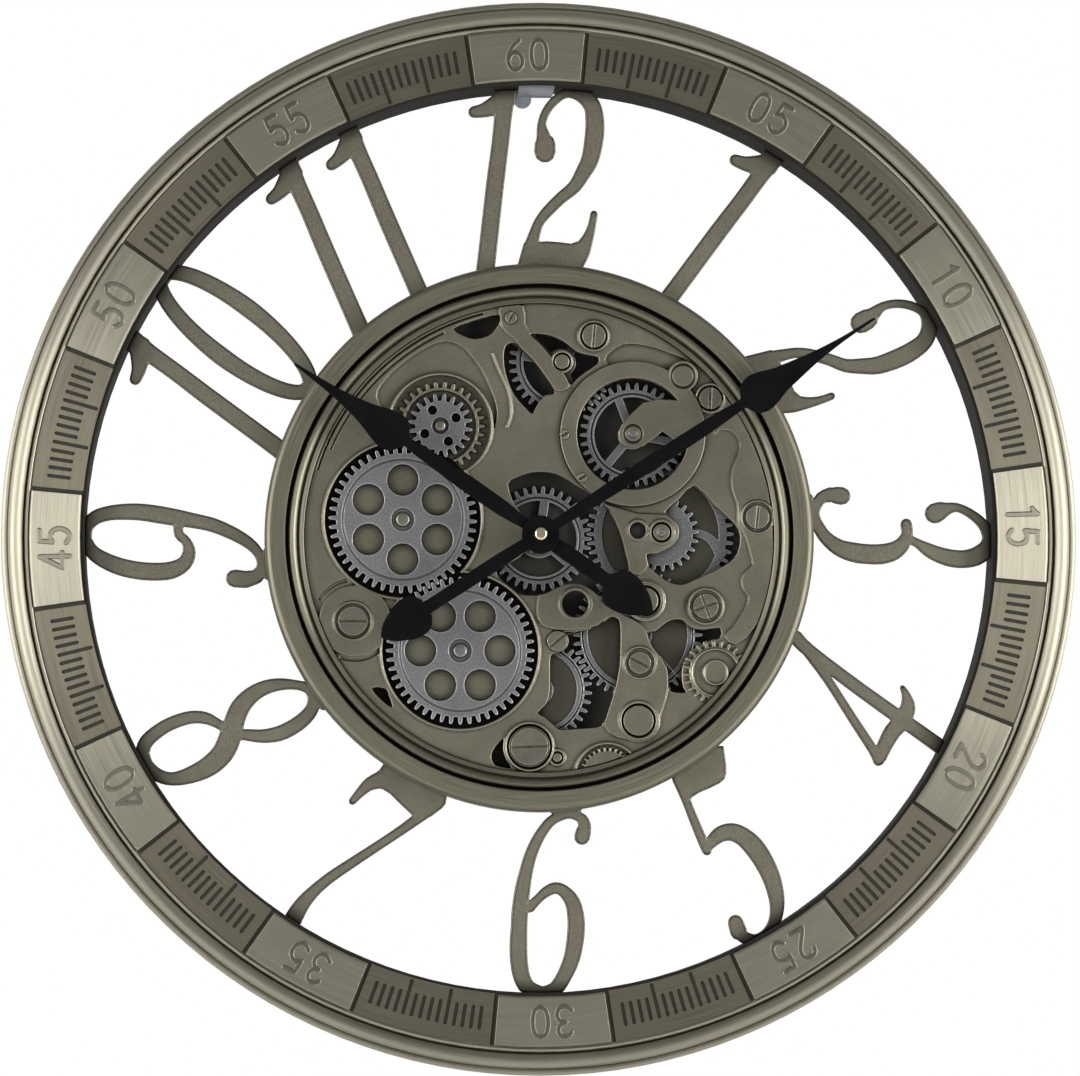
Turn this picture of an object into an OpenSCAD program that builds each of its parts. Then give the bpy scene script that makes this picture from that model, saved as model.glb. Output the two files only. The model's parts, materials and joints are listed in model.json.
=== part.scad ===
// Skeleton wall clock: ring with minute plates, cut-out hour figures, gear dial, two spade hands.
// Everything is drawn lying on its back: x to the right, y up, z from the wall towards the viewer.
// stand() then turns it upright, front towards -Y, with the origin in the hanger's keyhole at the wall.

/* [Outer ring] */
// Outside diameter of the rim
rim_d = 600; // [590:1:620]
// Height of the bead's top above the wall
rim_front = 48; // [46:0.5:54]
// Sheet thickness of rim, chapter ring and drum
sheet = 1.5; // [1:0.1:2]
// Width of the rim's rounded outer lip
flange_w = 4.2; // [3:0.1:6]
// Width of the rim's round bead
bead_w = 7.6; // [5:0.1:8]
// Width of the dark groove between bead and chapter ring
rim_groove = 1; // [0.8:0.1:3]
// Depth of that groove below the chapter ring's front face
rim_groove_deep = 2.5; // [2:0.1:5]
// Width of the rolled edge outside the minute plates
roll_w = 2.4; // [1.6:0.1:3]
// Width of the chapter ring's flat band
band_w = 33.3; // [30:0.1:36]
// Height of the chapter ring's front face
band_front = 43; // [40:0.5:46]
// Width of the ledge inside the rim that the chapter ring sits on
ledge_w = 8.4; // [5:0.1:12]

/* [Minute plates] */
// Angle each minute plate covers
plate_angle = 13.2; // [11:0.1:15]
// Turn of the minute plates against the hour figures
plate_turn = 1.5; // [-3:0.1:3]
// Height of a minute plate
plate_t = 2.5; // [1.5:0.1:4]
// Bevel along a minute plate's inner and outer edge
plate_bevel = 0.9; // [0.3:0.1:1.2]
// Height of the minute numbers
digit_h = 16.8; // [14:0.1:20]
// Line width of the minute numbers
digit_line = 2.4; // [0.8:0.1:3]
// Distance between the middles of two digits
digit_pitch = 13.4; // [11:0.1:15]
// How far the minute numbers stand out
digit_relief = 0.6; // [0.3:0.1:1]
// Thickness of the tick strips
strip_t = 0.8; // [0.4:0.1:1.5]
// Width of a tick
tick_w = 2.1; // [1.2:0.1:3]
// Angle between two ticks
tick_pitch = 1.0; // [0.8:0.05:1.05]

/* [Hour figures] */
// Thickness of the flat steel of the figures
figure_t = 3; // [2:0.5:5]
// Height of the figures' back above the wall
figure_back = 24; // [15:0.5:24]

/* [Hanger] */
// How far the keyhole lies below the rim's outside
hang_drop = 32; // [28:0.5:34]
// Diameter of the keyhole's round part
key_d = 9; // [8:0.5:10]
// Width of the keyhole's slot
key_slot = 4.5; // [3.5:0.5:5]

/* [Drum and bezel] */
// Outside diameter of the drum
drum_d = 296; // [292:1:298]
// Height of the drum's front edge above the wall
drum_front = 42; // [41:0.5:46]
// Height of the drum's rear edge above the wall
drum_back = 1; // [0.5:0.5:3]
// Width of the ledges inside the drum
drum_ledge = 8.5; // [6:0.5:9]
// How far the bezel stands out past the drum
bezel_over = 5.5; // [4:0.5:8]
// How far the bezel reaches in over the drum
bezel_lap = 6; // [5:0.5:6.5]
// Rounding of the bezel's outer edge
bezel_round = 4; // [2:0.5:4.5]
// Height of the bezel's lower edge above the wall
bezel_skirt = 28; // [27.5:0.5:34]
// Width of the black gap between bezel and dial rim
gap_w = 1.4; // [1:0.1:4]
// Width of the dial rim's bead
dial_bead = 5.1; // [3:0.1:6]
// Width of the whole dial rim
dial_rim_w = 9.1; // [8:0.1:10]

/* [Dial] */
// Height of the main plate's back above the wall
main_back = 20; // [20:0.5:20.5]
// Thickness of the main plate
main_t = 2; // [1.5:0.1:2.4]
// Height of the dial plate's back above the wall
dial_back = 30; // [29.6:0.1:31]
// Thickness of the floor of the wheel pockets
dial_floor = 2; // [1.5:0.1:2.3]
// Thickness of the dial plate
dial_t = 6; // [5:0.1:6.5]
// Height of the raised parts on the dial plate
relief_t = 1.6; // [0.6:0.1:1.8]
// Height of the raised rings round the screws and bosses, above the relief
ring_t = 0.7; // [0.3:0.1:1]
// Depth of the sunken part round the small wheel
sunk_t = 1.8; // [0.6:0.1:2]
// Depth of the recess above the ring bridge
recess_t = 2.5; // [1:0.1:3]
// Depth of the turned grooves
groove_t = 0.7; // [0.3:0.1:1]
// Room round a wheel in its pocket
pocket_gap = 2.2; // [1.5:0.1:2.6]
// Width of the raised lip round a pocket
lip_w = 1.5; // [1:0.1:2]
// Thickness of the ring bridge
bridge_t = 2.5; // [1.5:0.1:3]
// Inside radius of the ring bridge
bridge_in = 31.3; // [31:0.1:33]
// Width of the ring bridge
bridge_w = 9.4; // [8:0.1:11]
// Diameter of the pillars between main plate and dial plate
pillar_d = 8; // [7:0.5:9]
// Diameter of the dial screws' shanks
screw_d = 3; // [2.5:0.1:3.5]
// Width of the screw slots
slot_w = 1.3; // [0.8:0.1:1.6]

/* [Wheels] */
// Share of the pitch that a tooth takes
tooth_share = 0.4; // [0.34:0.01:0.42]
// Thickness of the wheels in the pockets
pocket_wheel_t = 4; // [3:0.1:4.5]
// Thickness of the wheels behind the dial plate
deep_wheel_t = 2.5; // [2:0.1:2.6]
// Thickness of the link wheels behind the main plate
link_t = 3; // [2:0.1:4]
// Diameter of the six holes in the two big wheels
wheel_hole_d = 17.7; // [14:0.1:19]
// Radius of the circle the six holes lie on
wheel_hole_r = 22.2; // [21:0.1:23]
// Diameter of the turning arbors
arbor_d = 4; // [3:0.1:5]
// Diameter of the studs of the wheels in the pockets
stud_d = 6; // [5:0.1:7]
// Diameter of the small wheel's stud
small_stud_d = 4; // [3.5:0.1:4.5]
// Depth of the turned recess round a wheel's hub
hub_sunk = 1.2; // [0.8:0.1:1.6]
// How far the thin webs of the wheels lie below their rims
web_sunk = 0.8; // [0.4:0.1:1.2]
// Running clearance between a shaft and its bore, on the radius
run_fit = 0.05; // [0.02:0.01:0.09]

/* [Hands] */
// Thickness of the hands
hand_t = 1.2; // [0.8:0.1:2]
// Height of the hour hand's back above the wall
hour_hand_z = 59.8; // [58:0.1:60.5]
// Height of the minute hand's back above the wall
minute_hand_z = 63; // [62.5:0.1:65]
// Diameter of the hands' hubs
hub_d = 21; // [18:0.5:24]
// Diameter of the brass nut
nut_d = 7.2; // [6:0.1:9]
// Height of the brass nut
nut_t = 5; // [4:0.1:6]
// Clockwise angle of the minute hand from twelve
minute_angle = 57; // [0:0.5:360]
// Clockwise angle of the hour hand from twelve
hour_angle = 304.75; // [0:0.25:360]

/* [Movement and drive] */
// Side of the square movement case
case_w = 56; // [55:0.5:57]
// Height of the case's back edge above the wall
case_back = 4; // [3.8:0.1:4.4]
// Wall of the movement case
case_wall = 1.5; // [1:0.1:1.8]
// Diameter of the movement's threaded bush
bush_d = 9.8; // [9:0.1:10.5]
// Diameter of the hour tube
hour_tube_d = 5.2; // [4.8:0.1:5.6]
// Diameter of the minute arbor
minute_arbor_d = 3.2; // [2.8:0.1:3.6]
// Diameter of a cell
cell_d = 14.5; // [14:0.1:14.5]
// Length of a cell
cell_l = 50.5; // [49.5:0.1:50.5]
// Diameter of the gear motor
motor_d = 30; // [24:0.5:32]
// Depth of the gear motor
motor_l = 14; // [10:0.5:16]

/* [Hidden] */
$fn = 96;
e = 0.01;

PEWTER = [0.44, 0.42, 0.36];
STEEL = [0.58, 0.58, 0.57];
DARK = [0.16, 0.15, 0.14];
BLACK = [0.05, 0.05, 0.05];
BRASS = [0.75, 0.65, 0.4];

// Radii of the ring, from outside to inside
rim_r = rim_d / 2;
hang_y = rim_r - hang_drop;
bead_out = rim_r - flange_w;
bead_in = bead_out - bead_w;
band_out = bead_in - rim_groove;
band_in = band_out - band_w;
ledge_z = band_front - rim_groove_deep;
plate_out = band_out - roll_w - 0.5;

// Radii of the drum, from outside to inside
drum_r = drum_d / 2;
drum_in = drum_r - sheet;
plate_r = drum_in - 0.1;
bezel_r = drum_r + bezel_over;
bezel_in_r = drum_r - bezel_lap;
bezel_front = drum_front + sheet + 0.5;
dial_rim_r = bezel_in_r - gap_w;
dial_edge = dial_rim_r - dial_rim_w;

// Heights
dial_front = dial_back + dial_t;
pocket_z = dial_back + dial_floor;
main_front = main_back + main_t;
wheel1_z = main_front + 1;
wheel2_z = dial_back - 1.2 - deep_wheel_t;
pocket_wheel_z = pocket_z + 1;
link_z = main_back - 3 - link_t;

// The dial's drawing was made for a drum of 296, and is fitted to the drum as it is
dial_k = drum_d / 296;
front_module = dial_k * 5 / 3;
link_module = dial_k * 1.2;
ring_in = bridge_in * dial_k;
ring_out = ring_in + bridge_w * dial_k;

// Numbers of teeth
big_n = 48;
mid_n = 34;
corner_n = 42;
small_n = 20;
pinion_n = 10;
link_ring_n = 44;
link_right_n = 52;
link_corner_n = 45;
link_bottom_n = 24;
link_lower_n = 58;

// Directions from each wheel to the next in the chain
dir_right = 2.3;
dir_ring = 106;
dir_top = 134.4;
dir_corner = 257.08;
dir_bottom = 209.37;
dir_lower = 153.9;
dir_left = 113.7;
dir_small = 68.3;
dir_motor = 20;

// Wheel centres: each lies one mesh away from the one before
function polar(r, a) = [r * cos(a), r * sin(a)];
function mesh(n1, n2, m) = (n1 + n2) * m / 2;
at_centre = [0, 0];
at_right = at_centre + polar(mesh(mid_n, big_n, front_module), dir_right);
at_ring = at_right + polar(mesh(link_right_n, link_ring_n, link_module), dir_ring);
at_top = at_ring + polar(mesh(mid_n, mid_n, front_module), dir_top);
at_corner = at_right + polar(mesh(link_right_n, link_corner_n, link_module), dir_corner);
at_bottom = at_corner + polar(mesh(corner_n, mid_n, front_module), dir_bottom);
at_lower = at_bottom + polar(mesh(link_bottom_n, link_lower_n, link_module), dir_lower);
at_left = at_lower + polar(mesh(big_n, big_n, front_module), dir_left);
at_small = at_left + polar(mesh(big_n, small_n, front_module), dir_small);
at_motor = at_top + polar(mesh(mid_n, pinion_n, front_module), dir_motor);

// Turn of a second wheel so that its gap meets the first wheel's tooth
function mesh_turn(dir, n1, turn1, n2) = dir + 180 + 180 / n2 + n1 / n2 * (dir - turn1);
turn_centre = 0;
turn_right = mesh_turn(dir_right, mid_n, turn_centre, big_n);
turn_ring = 0;
turn_top = mesh_turn(dir_top, mid_n, turn_ring, mid_n);
turn_motor = mesh_turn(dir_motor, mid_n, turn_top, pinion_n);
turn_corner = 0;
turn_bottom = mesh_turn(dir_bottom, corner_n, turn_corner, mid_n);
turn_lower = 0;
turn_left = mesh_turn(dir_left, big_n, turn_lower, big_n);
turn_small = mesh_turn(dir_small, big_n, turn_left, small_n);
link_right_turn = 0;
link_ring_turn = mesh_turn(dir_ring, link_right_n, link_right_turn, link_ring_n);
link_corner_turn = mesh_turn(dir_corner, link_right_n, link_right_turn, link_corner_n);
link_bottom_turn = 0;
link_lower_turn = mesh_turn(dir_lower, link_bottom_n, link_bottom_turn, link_lower_n);

// Motion work in the movement
motion_module = 0.5;
hour_module = 0.4;
at_motion = [0, -12];
at_set = at_motion + polar(mesh(36, 18, motion_module), -30);
motion_turn = mesh_turn(-90, 12, 0, 36);
hour_turn = mesh_turn(90, 12, 0, 48);
set_turn = mesh_turn(-30, 36, motion_turn, 18);
motion_z = 9.2;
hour_wheel_z = 12.6;

// Outline of a gear with peg teeth: tapered above the pitch circle, nearly parallel below it
function gear(n, m, turn, add = 0.8, ded = 1.25, share = tooth_share) =
    let (
        r = n * m / 2,
        tip = r + add * m,
        root = r - ded * m,
        half = r * share * PI / n,
        at_tip = (half - add * m * tan(18)) / tip * 180 / PI,
        at_pitch = half / r * 180 / PI,
        at_root = (half + ded * m * tan(4)) / root * 180 / PI
    )
    [
        for (k = [0 : n - 1])
            let (c = turn + k * 360 / n)
                each [
                    polar(root, c - at_root), polar(r, c - at_pitch), polar(tip, c - at_tip),
                    polar(tip, c + at_tip), polar(r, c + at_pitch), polar(root, c + at_root)
                ]
    ];

// A point on a smooth curve between b and c
function curve_at(a, b, c, d, t) =
    0.5 * (2 * b + (c - a) * t + (2 * a - 5 * b + 4 * c - d) * t * t
        + (3 * b - a - 3 * c + d) * t * t * t);

// A smooth open curve through points
function curve(p, n) = [
    for (i = [0 : len(p) - 2], s = [0 : n - 1])
        curve_at(p[max(i - 1, 0)], p[i], p[i + 1], p[min(i + 2, len(p) - 1)], s / n),
    p[len(p) - 1]
];

// A smooth closed curve through points
function loop(p, n) = let (c = len(p)) [
    for (i = [0 : c - 1], s = [0 : n - 1])
        curve_at(p[(i + c - 1) % c], p[i], p[(i + 1) % c], p[(i + 2) % c], s / n)
];

// Points of an arc
function arc(c, r, a0, a1, n) = [for (k = [0 : n]) c + polar(r, a0 + (a1 - a0) * k / n)];

// A square with rounded corners
function rounded(w, r) = [
    for (q = [0 : 3]) each arc(polar((w - r) * sqrt(2), 45 + 90 * q), r, 90 * q, 90 * q + 90, 6)
];

// Outline of a pen stroke through points [x, y, width], with round ends
function heading(p, i) =
    let (a = p[max(i - 1, 0)], b = p[min(i + 1, len(p) - 1)]) atan2(b[1] - a[1], b[0] - a[0]);
function beside(p, i, turn) = [p[i][0], p[i][1]] + polar(p[i][2] / 2, heading(p, i) + turn);
function pen(p, caps = 5) = let (n = len(p) - 1) [
    for (i = [0 : n]) beside(p, i, -90),
    for (k = [1 : caps - 1]) beside(p, n, -90 + 180 * k / caps),
    for (i = [n : -1 : 0]) beside(p, i, 90),
    for (k = [1 : caps - 1]) beside(p, 0, 90 + 180 * k / caps)
];

// Lay the clock upright against the wall
module stand() {
    translate([0, 0, -hang_y])
        rotate([90, 0, 0])
            children();
}

module at(p, z = 0) {
    translate([p[0], p[1], z])
        children();
}

// A ring between two radii
module band(r_out, r_in) {
    difference() {
        circle(r = r_out);
        circle(r = r_in);
    }
}

// OUTER RING
module outer_rim() {
    bead_c = (bead_out + bead_in) / 2;
    bead_r = bead_w / 2;
    bead_z = rim_front - bead_r;
    wall_in = rim_r - sheet;
    color(PEWTER) stand()
        rotate_extrude()
            polygon(concat(
                [[wall_in, 0], [rim_r, 0]],
                arc([rim_r - flange_w / 2, bead_z - 1.2], flange_w / 2, 0, 140, 7),
                arc([bead_c, bead_z], bead_r, 30, 180, 12),
                [
                    [bead_in, ledge_z], [bead_in - ledge_w, ledge_z],
                    [bead_in - ledge_w, ledge_z - sheet], [bead_in + sheet, ledge_z - sheet],
                    [bead_in + sheet, bead_z - 4], [wall_in, bead_z - 4]
                ]
            ));
}

// Pressed band with a deep inner wall
module chapter_ring() {
    color(PEWTER) stand()
        rotate_extrude()
            polygon(concat(
                [[band_in + sheet, sheet], [band_in + sheet, band_front - sheet]],
                [[band_out - sheet, band_front - sheet], [band_out - sheet, ledge_z], [band_out, ledge_z]],
                arc([band_out - roll_w / 2, band_front], roll_w / 2, 0, 180, 8),
                arc([band_in + 1.2, band_front - 1.2], 1.2, 90, 180, 5),
                [[band_in, sheet]]
            ));
}

// Strips with the tick slots, between the minute plates
module tick_strips() {
    half = 15 - plate_angle / 2 - 0.5;
    short_in = band_in + 9.3;
    long_in = band_in + 2.4;
    tick_out = band_in + 22.6;
    color(PEWTER) stand()
        translate([0, 0, band_front])
            linear_extrude(strip_t)
                for (k = [0 : 11])
                    rotate(15 + 30 * k + plate_turn)
                        difference() {
                            polygon(concat(
                                arc([0, 0], plate_out, 90 - half, 90 + half, 12),
                                arc([0, 0], band_in + 1.6, 90 + half, 90 - half, 12)
                            ));
                            for (i = [0 : 13])
                                rotate((i - 6.5) * tick_pitch)
                                    polygon(pen([
                                        [0, i == 4 || i == 9 ? long_in + 1 : short_in + 1, tick_w],
                                        [0, tick_out - 1, tick_w]
                                    ], 4));
                        }
}

// Strokes of the thin minute digits, on a cell 9 wide and 18 high about its middle
DIGITS = [
    [
        [[0, 9], [-3, 7.4], [-4.4, 3], [-4.4, -3], [-3, -7.4], [0, -9]],
        [[0, 9], [3, 7.4], [4.4, 3], [4.4, -3], [3, -7.4], [0, -9]]
    ],
    [[[-2.6, 5.8], [-0.8, 7], [0.9, 9]], [[0.9, 9], [0.9, -9]]],
    [
        [[-4.2, 4.8], [-3.3, 7.6], [0, 9], [3.4, 7.6], [4.2, 4.4], [2.4, 0.2], [-1.4, -4.6], [-4.3, -8.8]],
        [[-4.3, -8.8], [4.5, -8.8]]
    ],
    [
        [[-4, 6.6], [-1.4, 8.9], [2.2, 8.4], [3.8, 5.2], [2.4, 1.8], [-0.8, 0.5]],
        [[-0.8, 0.5], [2.8, -0.6], [4.4, -4.2], [2.8, -7.9], [-0.8, -9], [-4.4, -6.6]]
    ],
    [[[2.2, 9], [2.2, -9]], [[2.2, 9], [-4.6, -4.4]], [[-4.6, -4.4], [4.6, -4.4]]],
    [
        [[3.8, 8.8], [-2.8, 8.8]],
        [[-2.8, 8.8], [-3.6, 1.2]],
        [[-3.6, 1.2], [-0.2, 2.5], [3.4, 0.6], [4.4, -3.4], [2.8, -7.6], [-0.8, -9], [-4.2, -6.8]]
    ],
    [
        [[2.6, 8.8], [-0.6, 6.2], [-3.4, 1.6], [-4.3, -3.2], [-2.8, -7.6], [0, -9]],
        [[0, -9], [2.8, -7.6], [4.3, -3.6], [2.8, 0.4], [0, 1.6], [-2.8, 0.2], [-4.2, -3.2]]
    ]
];

module digit(d) {
    k = digit_h / 18;
    for (s = DIGITS[d])
        polygon(pen([for (q = curve(s, 3)) [q[0] * k, q[1] * k, digit_line]], 4));
}

// Raised plates with the minutes, tops outwards
module minute_plates() {
    r0 = band_in + 2.2;
    r1 = plate_out;
    z1 = band_front + plate_t;
    color(PEWTER) stand()
        for (k = [0 : 11])
            rotate(plate_turn - 30 * k) {
                rotate(90 - plate_angle / 2)
                    rotate_extrude(angle = plate_angle)
                        polygon([
                            [r0, band_front], [r1, band_front], [r1, z1 - plate_bevel],
                            [r1 - plate_bevel, z1], [r0 + plate_bevel, z1], [r0, z1 - plate_bevel]
                        ]);
                translate([0, (r0 + r1) / 2, z1])
                    linear_extrude(digit_relief) {
                        translate([-digit_pitch / 2, 0])
                            digit(k == 0 ? 6 : floor(k * 5 / 10));
                        translate([digit_pitch / 2, 0])
                            digit(k == 0 ? 0 : k * 5 % 10);
                    }
            }
}

// Plate behind the ring with the keyhole that hangs the clock
module hanger() {
    color(STEEL) stand()
        linear_extrude(sheet)
            difference() {
                intersection() {
                    circle(r = rim_r - sheet);
                    union() {
                        polygon([[-14, band_in - 2.3], [8, band_in - 2.3], [8, rim_r + 5], [-14, rim_r + 5]]);
                        polygon(pen([[-8.5, band_in - 3.5, 10], [-8.5, band_in + 8, 10]], 8));
                    }
                }
                translate([0, hang_y])
                    circle(d = key_d);
                polygon(pen([[0, hang_y, key_slot], [0, hang_y + 11, key_slot]], 8));
            }
}

// Strip inside the ring's wall, from the hanger plate forwards
module hanger_strip() {
    r = band_in - 0.05;
    color(STEEL) stand()
        translate([0, 0, sheet])
            linear_extrude(band_front - sheet - 4)
                polygon(concat(arc([0, 0], r, 88.1, 92.6, 6), arc([0, 0], r - sheet, 92.6, 88.1, 6)));
}

// HOUR FIGURES: pen strokes [x, y, width] drawn between the radii figure_in and figure_out
figure_in = 148;
figure_out = 253.3;
ONE = [
    [[6.5, 262, 17], [5.8, 253, 13], [4.6, 240, 10.2], [2.8, 222, 9.8], [0, 200, 10.1],
        [-4.5, 160, 10.3], [-6.4, 144, 10.8]],
    [[-12, 239.8, 6.5], [-6.6, 240.8, 8], [0, 243.5, 11], [5, 246.5, 13]]
];
TWO = [
    [[-15, 217.5, 12], [-14.9, 222, 11.6]],
    [[-16, 227, 7.5], [-16.8, 233, 5], [-14.5, 240, 4.8], [-9.5, 246.5, 5], [-2.5, 250.8, 5.5],
        [6, 249.6, 9], [11.5, 243.5, 9.6], [13, 235, 10.5], [12.7, 226, 10.8], [10.5, 214, 10],
        [6.5, 206, 8.8], [1.5, 198, 7.5], [-6, 191.7, 6.7], [-13.5, 184.2, 6.4], [-18, 178.5, 5.8],
        [-20.5, 172.5, 6.3], [-23, 164, 8]],
    [[12.5, 182.6, 4.2], [11.3, 176, 4.6], [9, 169, 6.5], [5.5, 162, 10], [2, 156, 11]]
];
TWO_FOOT = [
    [-33, 145], [-27, 166], [-22.5, 170.5], [-18.5, 167], [-13.5, 167.3], [-6.5, 166.8], [-0.5, 166],
    [4, 167.5], [7, 170.5], [11.5, 166], [8.5, 159], [3, 152], [1, 144]
];
ZERO = [
    for (half = [0, 180]) [
        for (k = [0 : 12])
            let (t = half - 96 + 16 * k, y = 51 * sin(t))
                [14.9 + 15.4 * cos(t) + y * 0.12, 205 + y, 10.4 - 1.9 * abs(sin(t))]
    ]
];
THREE = [
    [[166.5, 24.8, 9.4], [170, 24.3, 10]],
    [[164, 25, 8.6], [158.5, 23.2, 6.8], [155, 17, 6], [155, 12, 6], [157, 7, 6.8], [161, 1, 7.5],
        [168, -4.5, 9.3], [176, -7.2, 11], [184, -8.3, 11.2], [192, -8.3, 11.3], [199, -6.5, 10.5],
        [204, -2.5, 8.5], [206.5, 3, 6.5], [206, 8.5, 6.5]],
    [[206.5, 0.5, 5], [212, -2, 5], [218, -5.7, 7.6], [224, -8.5, 8.9], [231, -10.5, 9.8], [238, -11, 10],
        [245, -9.5, 10.5], [251, -5, 10], [252.4, 1, 8], [250, 7, 6.5], [246, 11.5, 5.6],
        [240, 15.7, 5], [234, 18, 5], [228, 17, 7.5]],
    [[225, 16, 10.5], [222, 14.6, 11.4]],
    [[150, 6, 9], [150, 22, 9]]
];
FOUR = [
    [[144, -55, 8], [152, -63, 7.6], [180, -84.3, 7.7], [215, -109.3, 8.3], [232, -121.5, 8.8]],
    [[146, -56, 6], [150, -62, 6], [162, -79, 5], [175, -99.5, 5.2], [187, -118, 5.5], [190, -124, 6]],
    [[203.6, -83.2, 3], [205.6, -87.5, 5], [206.5, -94, 8.5], [203.5, -101.5, 9.5], [198, -107.5, 9.5],
        [193.5, -115.5, 8.5], [190.5, -122, 8]]
];
FIVE = [
    [[78, -134, 7], [82.3, -146, 5], [87, -158, 5.2], [92, -170, 5.5], [94, -174.5, 5.2]],
    [[94.5, -172.5, 5], [97.5, -168.5, 7.5], [102, -165, 9], [108, -164, 10], [114, -166.5, 10.5],
        [120, -172, 11.4], [125.5, -180, 11], [129.8, -189, 10.2], [132.3, -198, 9.2], [133, -206, 8],
        [131.5, -214, 7], [127.5, -220.3, 6.5], [121, -223.6, 5.8], [114.5, -222.6, 7]],
    [[111.5, -219.5, 9.4], [109.8, -214.2, 8.6]]
];
FIVE_FLAG = [
    [76, -132], [80, -146], [84.5, -146], [86, -144.5], [90, -142], [96, -139.5], [101, -137], [104, -134.5],
    [105, -131], [104.8, -126], [103.5, -116], [88, -116]
];
SIX = [
    [[24.2, -167, 8.8], [25.2, -163.4, 8.4]],
    [[25.6, -161, 7.4], [24.2, -156.8, 6], [18, -154.3, 5], [12, -155.3, 5.5], [7, -158, 5.8],
        [3, -162.5, 6], [-1, -169, 6.5], [-4.5, -177, 7], [-7, -186, 7.5], [-9, -196, 8.6],
        [-10.5, -208, 9.2], [-10.9, -216, 9.2], [-11.3, -226, 9.8], [-11, -236, 9.8],
        [-9.3, -245, 9.4], [-5.5, -251, 9], [2, -254, 8]],
    [[2, -254, 8], [9, -251.5, 8.5], [14, -244.5, 8.5], [18.5, -234, 9.2], [20.6, -222, 9.7],
        [20.8, -212, 9.5], [18.8, -203, 8.5], [14, -197, 7], [9, -195.3, 6.5], [4, -197.5, 6],
        [0, -201, 5.2], [-5, -206, 6]],
    [[9, -151, 7], [21, -150.5, 7]]
];
SEVEN = [
    [[-104, -147, 4.2], [-99.5, -142, 5.5], [-94.5, -137.5, 7.5], [-88, -135, 10]],
    [[-60, -151, 7], [-75, -162, 5.6], [-90, -172, 5.4], [-105, -181.8, 5.8], [-116, -189.2, 6.2],
        [-124, -195.8, 6.7], [-130, -202, 8], [-134.5, -208.5, 9.4], [-139, -217, 10.8]]
];
SEVEN_PLATE = [
    [-84, -122], [-90, -131], [-91, -139.5], [-87, -140.5], [-83, -143], [-79, -147], [-70, -155.5],
    [-60, -155.5], [-54, -151], [-52, -148.5], [-50, -136]
];
EIGHT = [
    [[-131, -83, 5.5], [-137, -82, 5.5], [-144, -81.8, 6.8], [-152, -83.3, 8], [-160, -87.5, 9.3],
        [-166.5, -94.5, 10.8], [-170, -103, 11.5], [-172.5, -112, 12.5], [-176.5, -120.5, 12.3],
        [-184, -127.5, 11.5], [-194, -132.3, 9.5], [-204, -134.5, 7.5], [-212, -132.5, 7.5],
        [-218.5, -127, 8], [-221, -120, 8]],
    [[-221, -120, 8], [-218.5, -113.5, 8], [-211, -107, 7.6], [-203, -102.8, 7.4], [-194, -100.2, 7.2],
        [-186, -100.6, 6.8], [-179.5, -103.5, 5.5], [-172, -108, 5]],
    [[-170, -109.5, 5], [-163, -110, 6.5], [-154, -110.7, 7.6], [-145, -109.3, 8.6], [-137, -105.5, 8.6],
        [-130.5, -100.5, 8.2], [-126.5, -95, 7.5], [-125.8, -89, 7], [-128.5, -84.5, 6], [-133, -82.6, 5.5]],
    [[-124, -84, 7], [-120, -93, 7]]
];
NINE = [
    [[-201.5, 8, 5.5], [-201, 2, 5.5], [-197, -2, 5.5], [-195.4, -8, 7.4], [-198, -14.2, 8.4],
        [-205, -18, 9.8], [-214, -18.9, 10], [-224, -18.2, 10], [-234, -16, 9.8], [-243, -12.2, 9],
        [-249.5, -7.5, 8], [-253, -1, 7]],
    [[-253, -1, 7], [-252.5, 6, 7.5], [-247.5, 11.3, 8], [-240, 13.8, 8.2], [-231, 14.6, 9],
        [-222, 14.4, 9.5], [-212, 13, 9.8], [-202, 11.3, 9.4], [-192, 9.5, 8.3], [-182, 7.2, 8],
        [-172, 3, 7.5], [-164, -1.5, 6.8], [-158.5, -6.2, 6], [-155.5, -11.5, 5.5], [-155, -17, 6.5],
        [-158, -21.8, 8]],
    [[-164, -23.2, 9.6], [-170, -22.6, 10]],
    [[-158, -21.8, 8], [-164, -23.2, 9.6]],
    [[-150.5, -8, 8], [-150.5, -20, 8]]
];

// Move a point drawn upright at twelve sideways, then round to its hour
function to_hour(q, shift, a) =
    let (x = q[0] + shift) [x * cos(a) + q[1] * sin(a), q[1] * cos(a) - x * sin(a), q[2]];
function glyph(g, shift, a) = [for (s = g) [for (q = s) to_hour(q, shift, a)]];
FIGURES = [
    glyph(ONE, 0.9, 30),
    glyph(TWO, 0, 60),
    THREE, FOUR, FIVE, SIX, SEVEN, EIGHT, NINE,
    concat(glyph(ONE, -23.9, 300), glyph(ZERO, 0, 300)),
    concat(glyph(ONE, -22.6, 330), glyph(ONE, 16.2, 330)),
    concat(glyph(ONE, -24.4, 0), glyph(TWO, 18.5, 0))
];
FIGURE_PADS = [
    [], glyph([TWO_FOOT], 0, 60), [], [], [FIVE_FLAG], [], [SEVEN_PLATE], [], [], [], [],
    glyph([TWO_FOOT], 18.5, 0)
];

// Stretch a drawn point so that the figures always reach from drum to ring
function reach(q) =
    let (r = drum_r + (norm([q[0], q[1]]) - figure_in) * (band_in - drum_r) / (figure_out - figure_in))
        polar(r, atan2(q[1], q[0]));

module numeral(h) {
    color(PEWTER) stand()
        translate([0, 0, figure_back])
            linear_extrude(figure_t)
                intersection() {
                    band(band_in, drum_r);
                    union() {
                        for (s = FIGURES[h - 1])
                            polygon([for (q = pen(curve(s, 3))) reach(q)]);
                        for (s = FIGURE_PADS[h - 1])
                            polygon([for (q = s) reach(q)]);
                    }
                }
}

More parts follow.
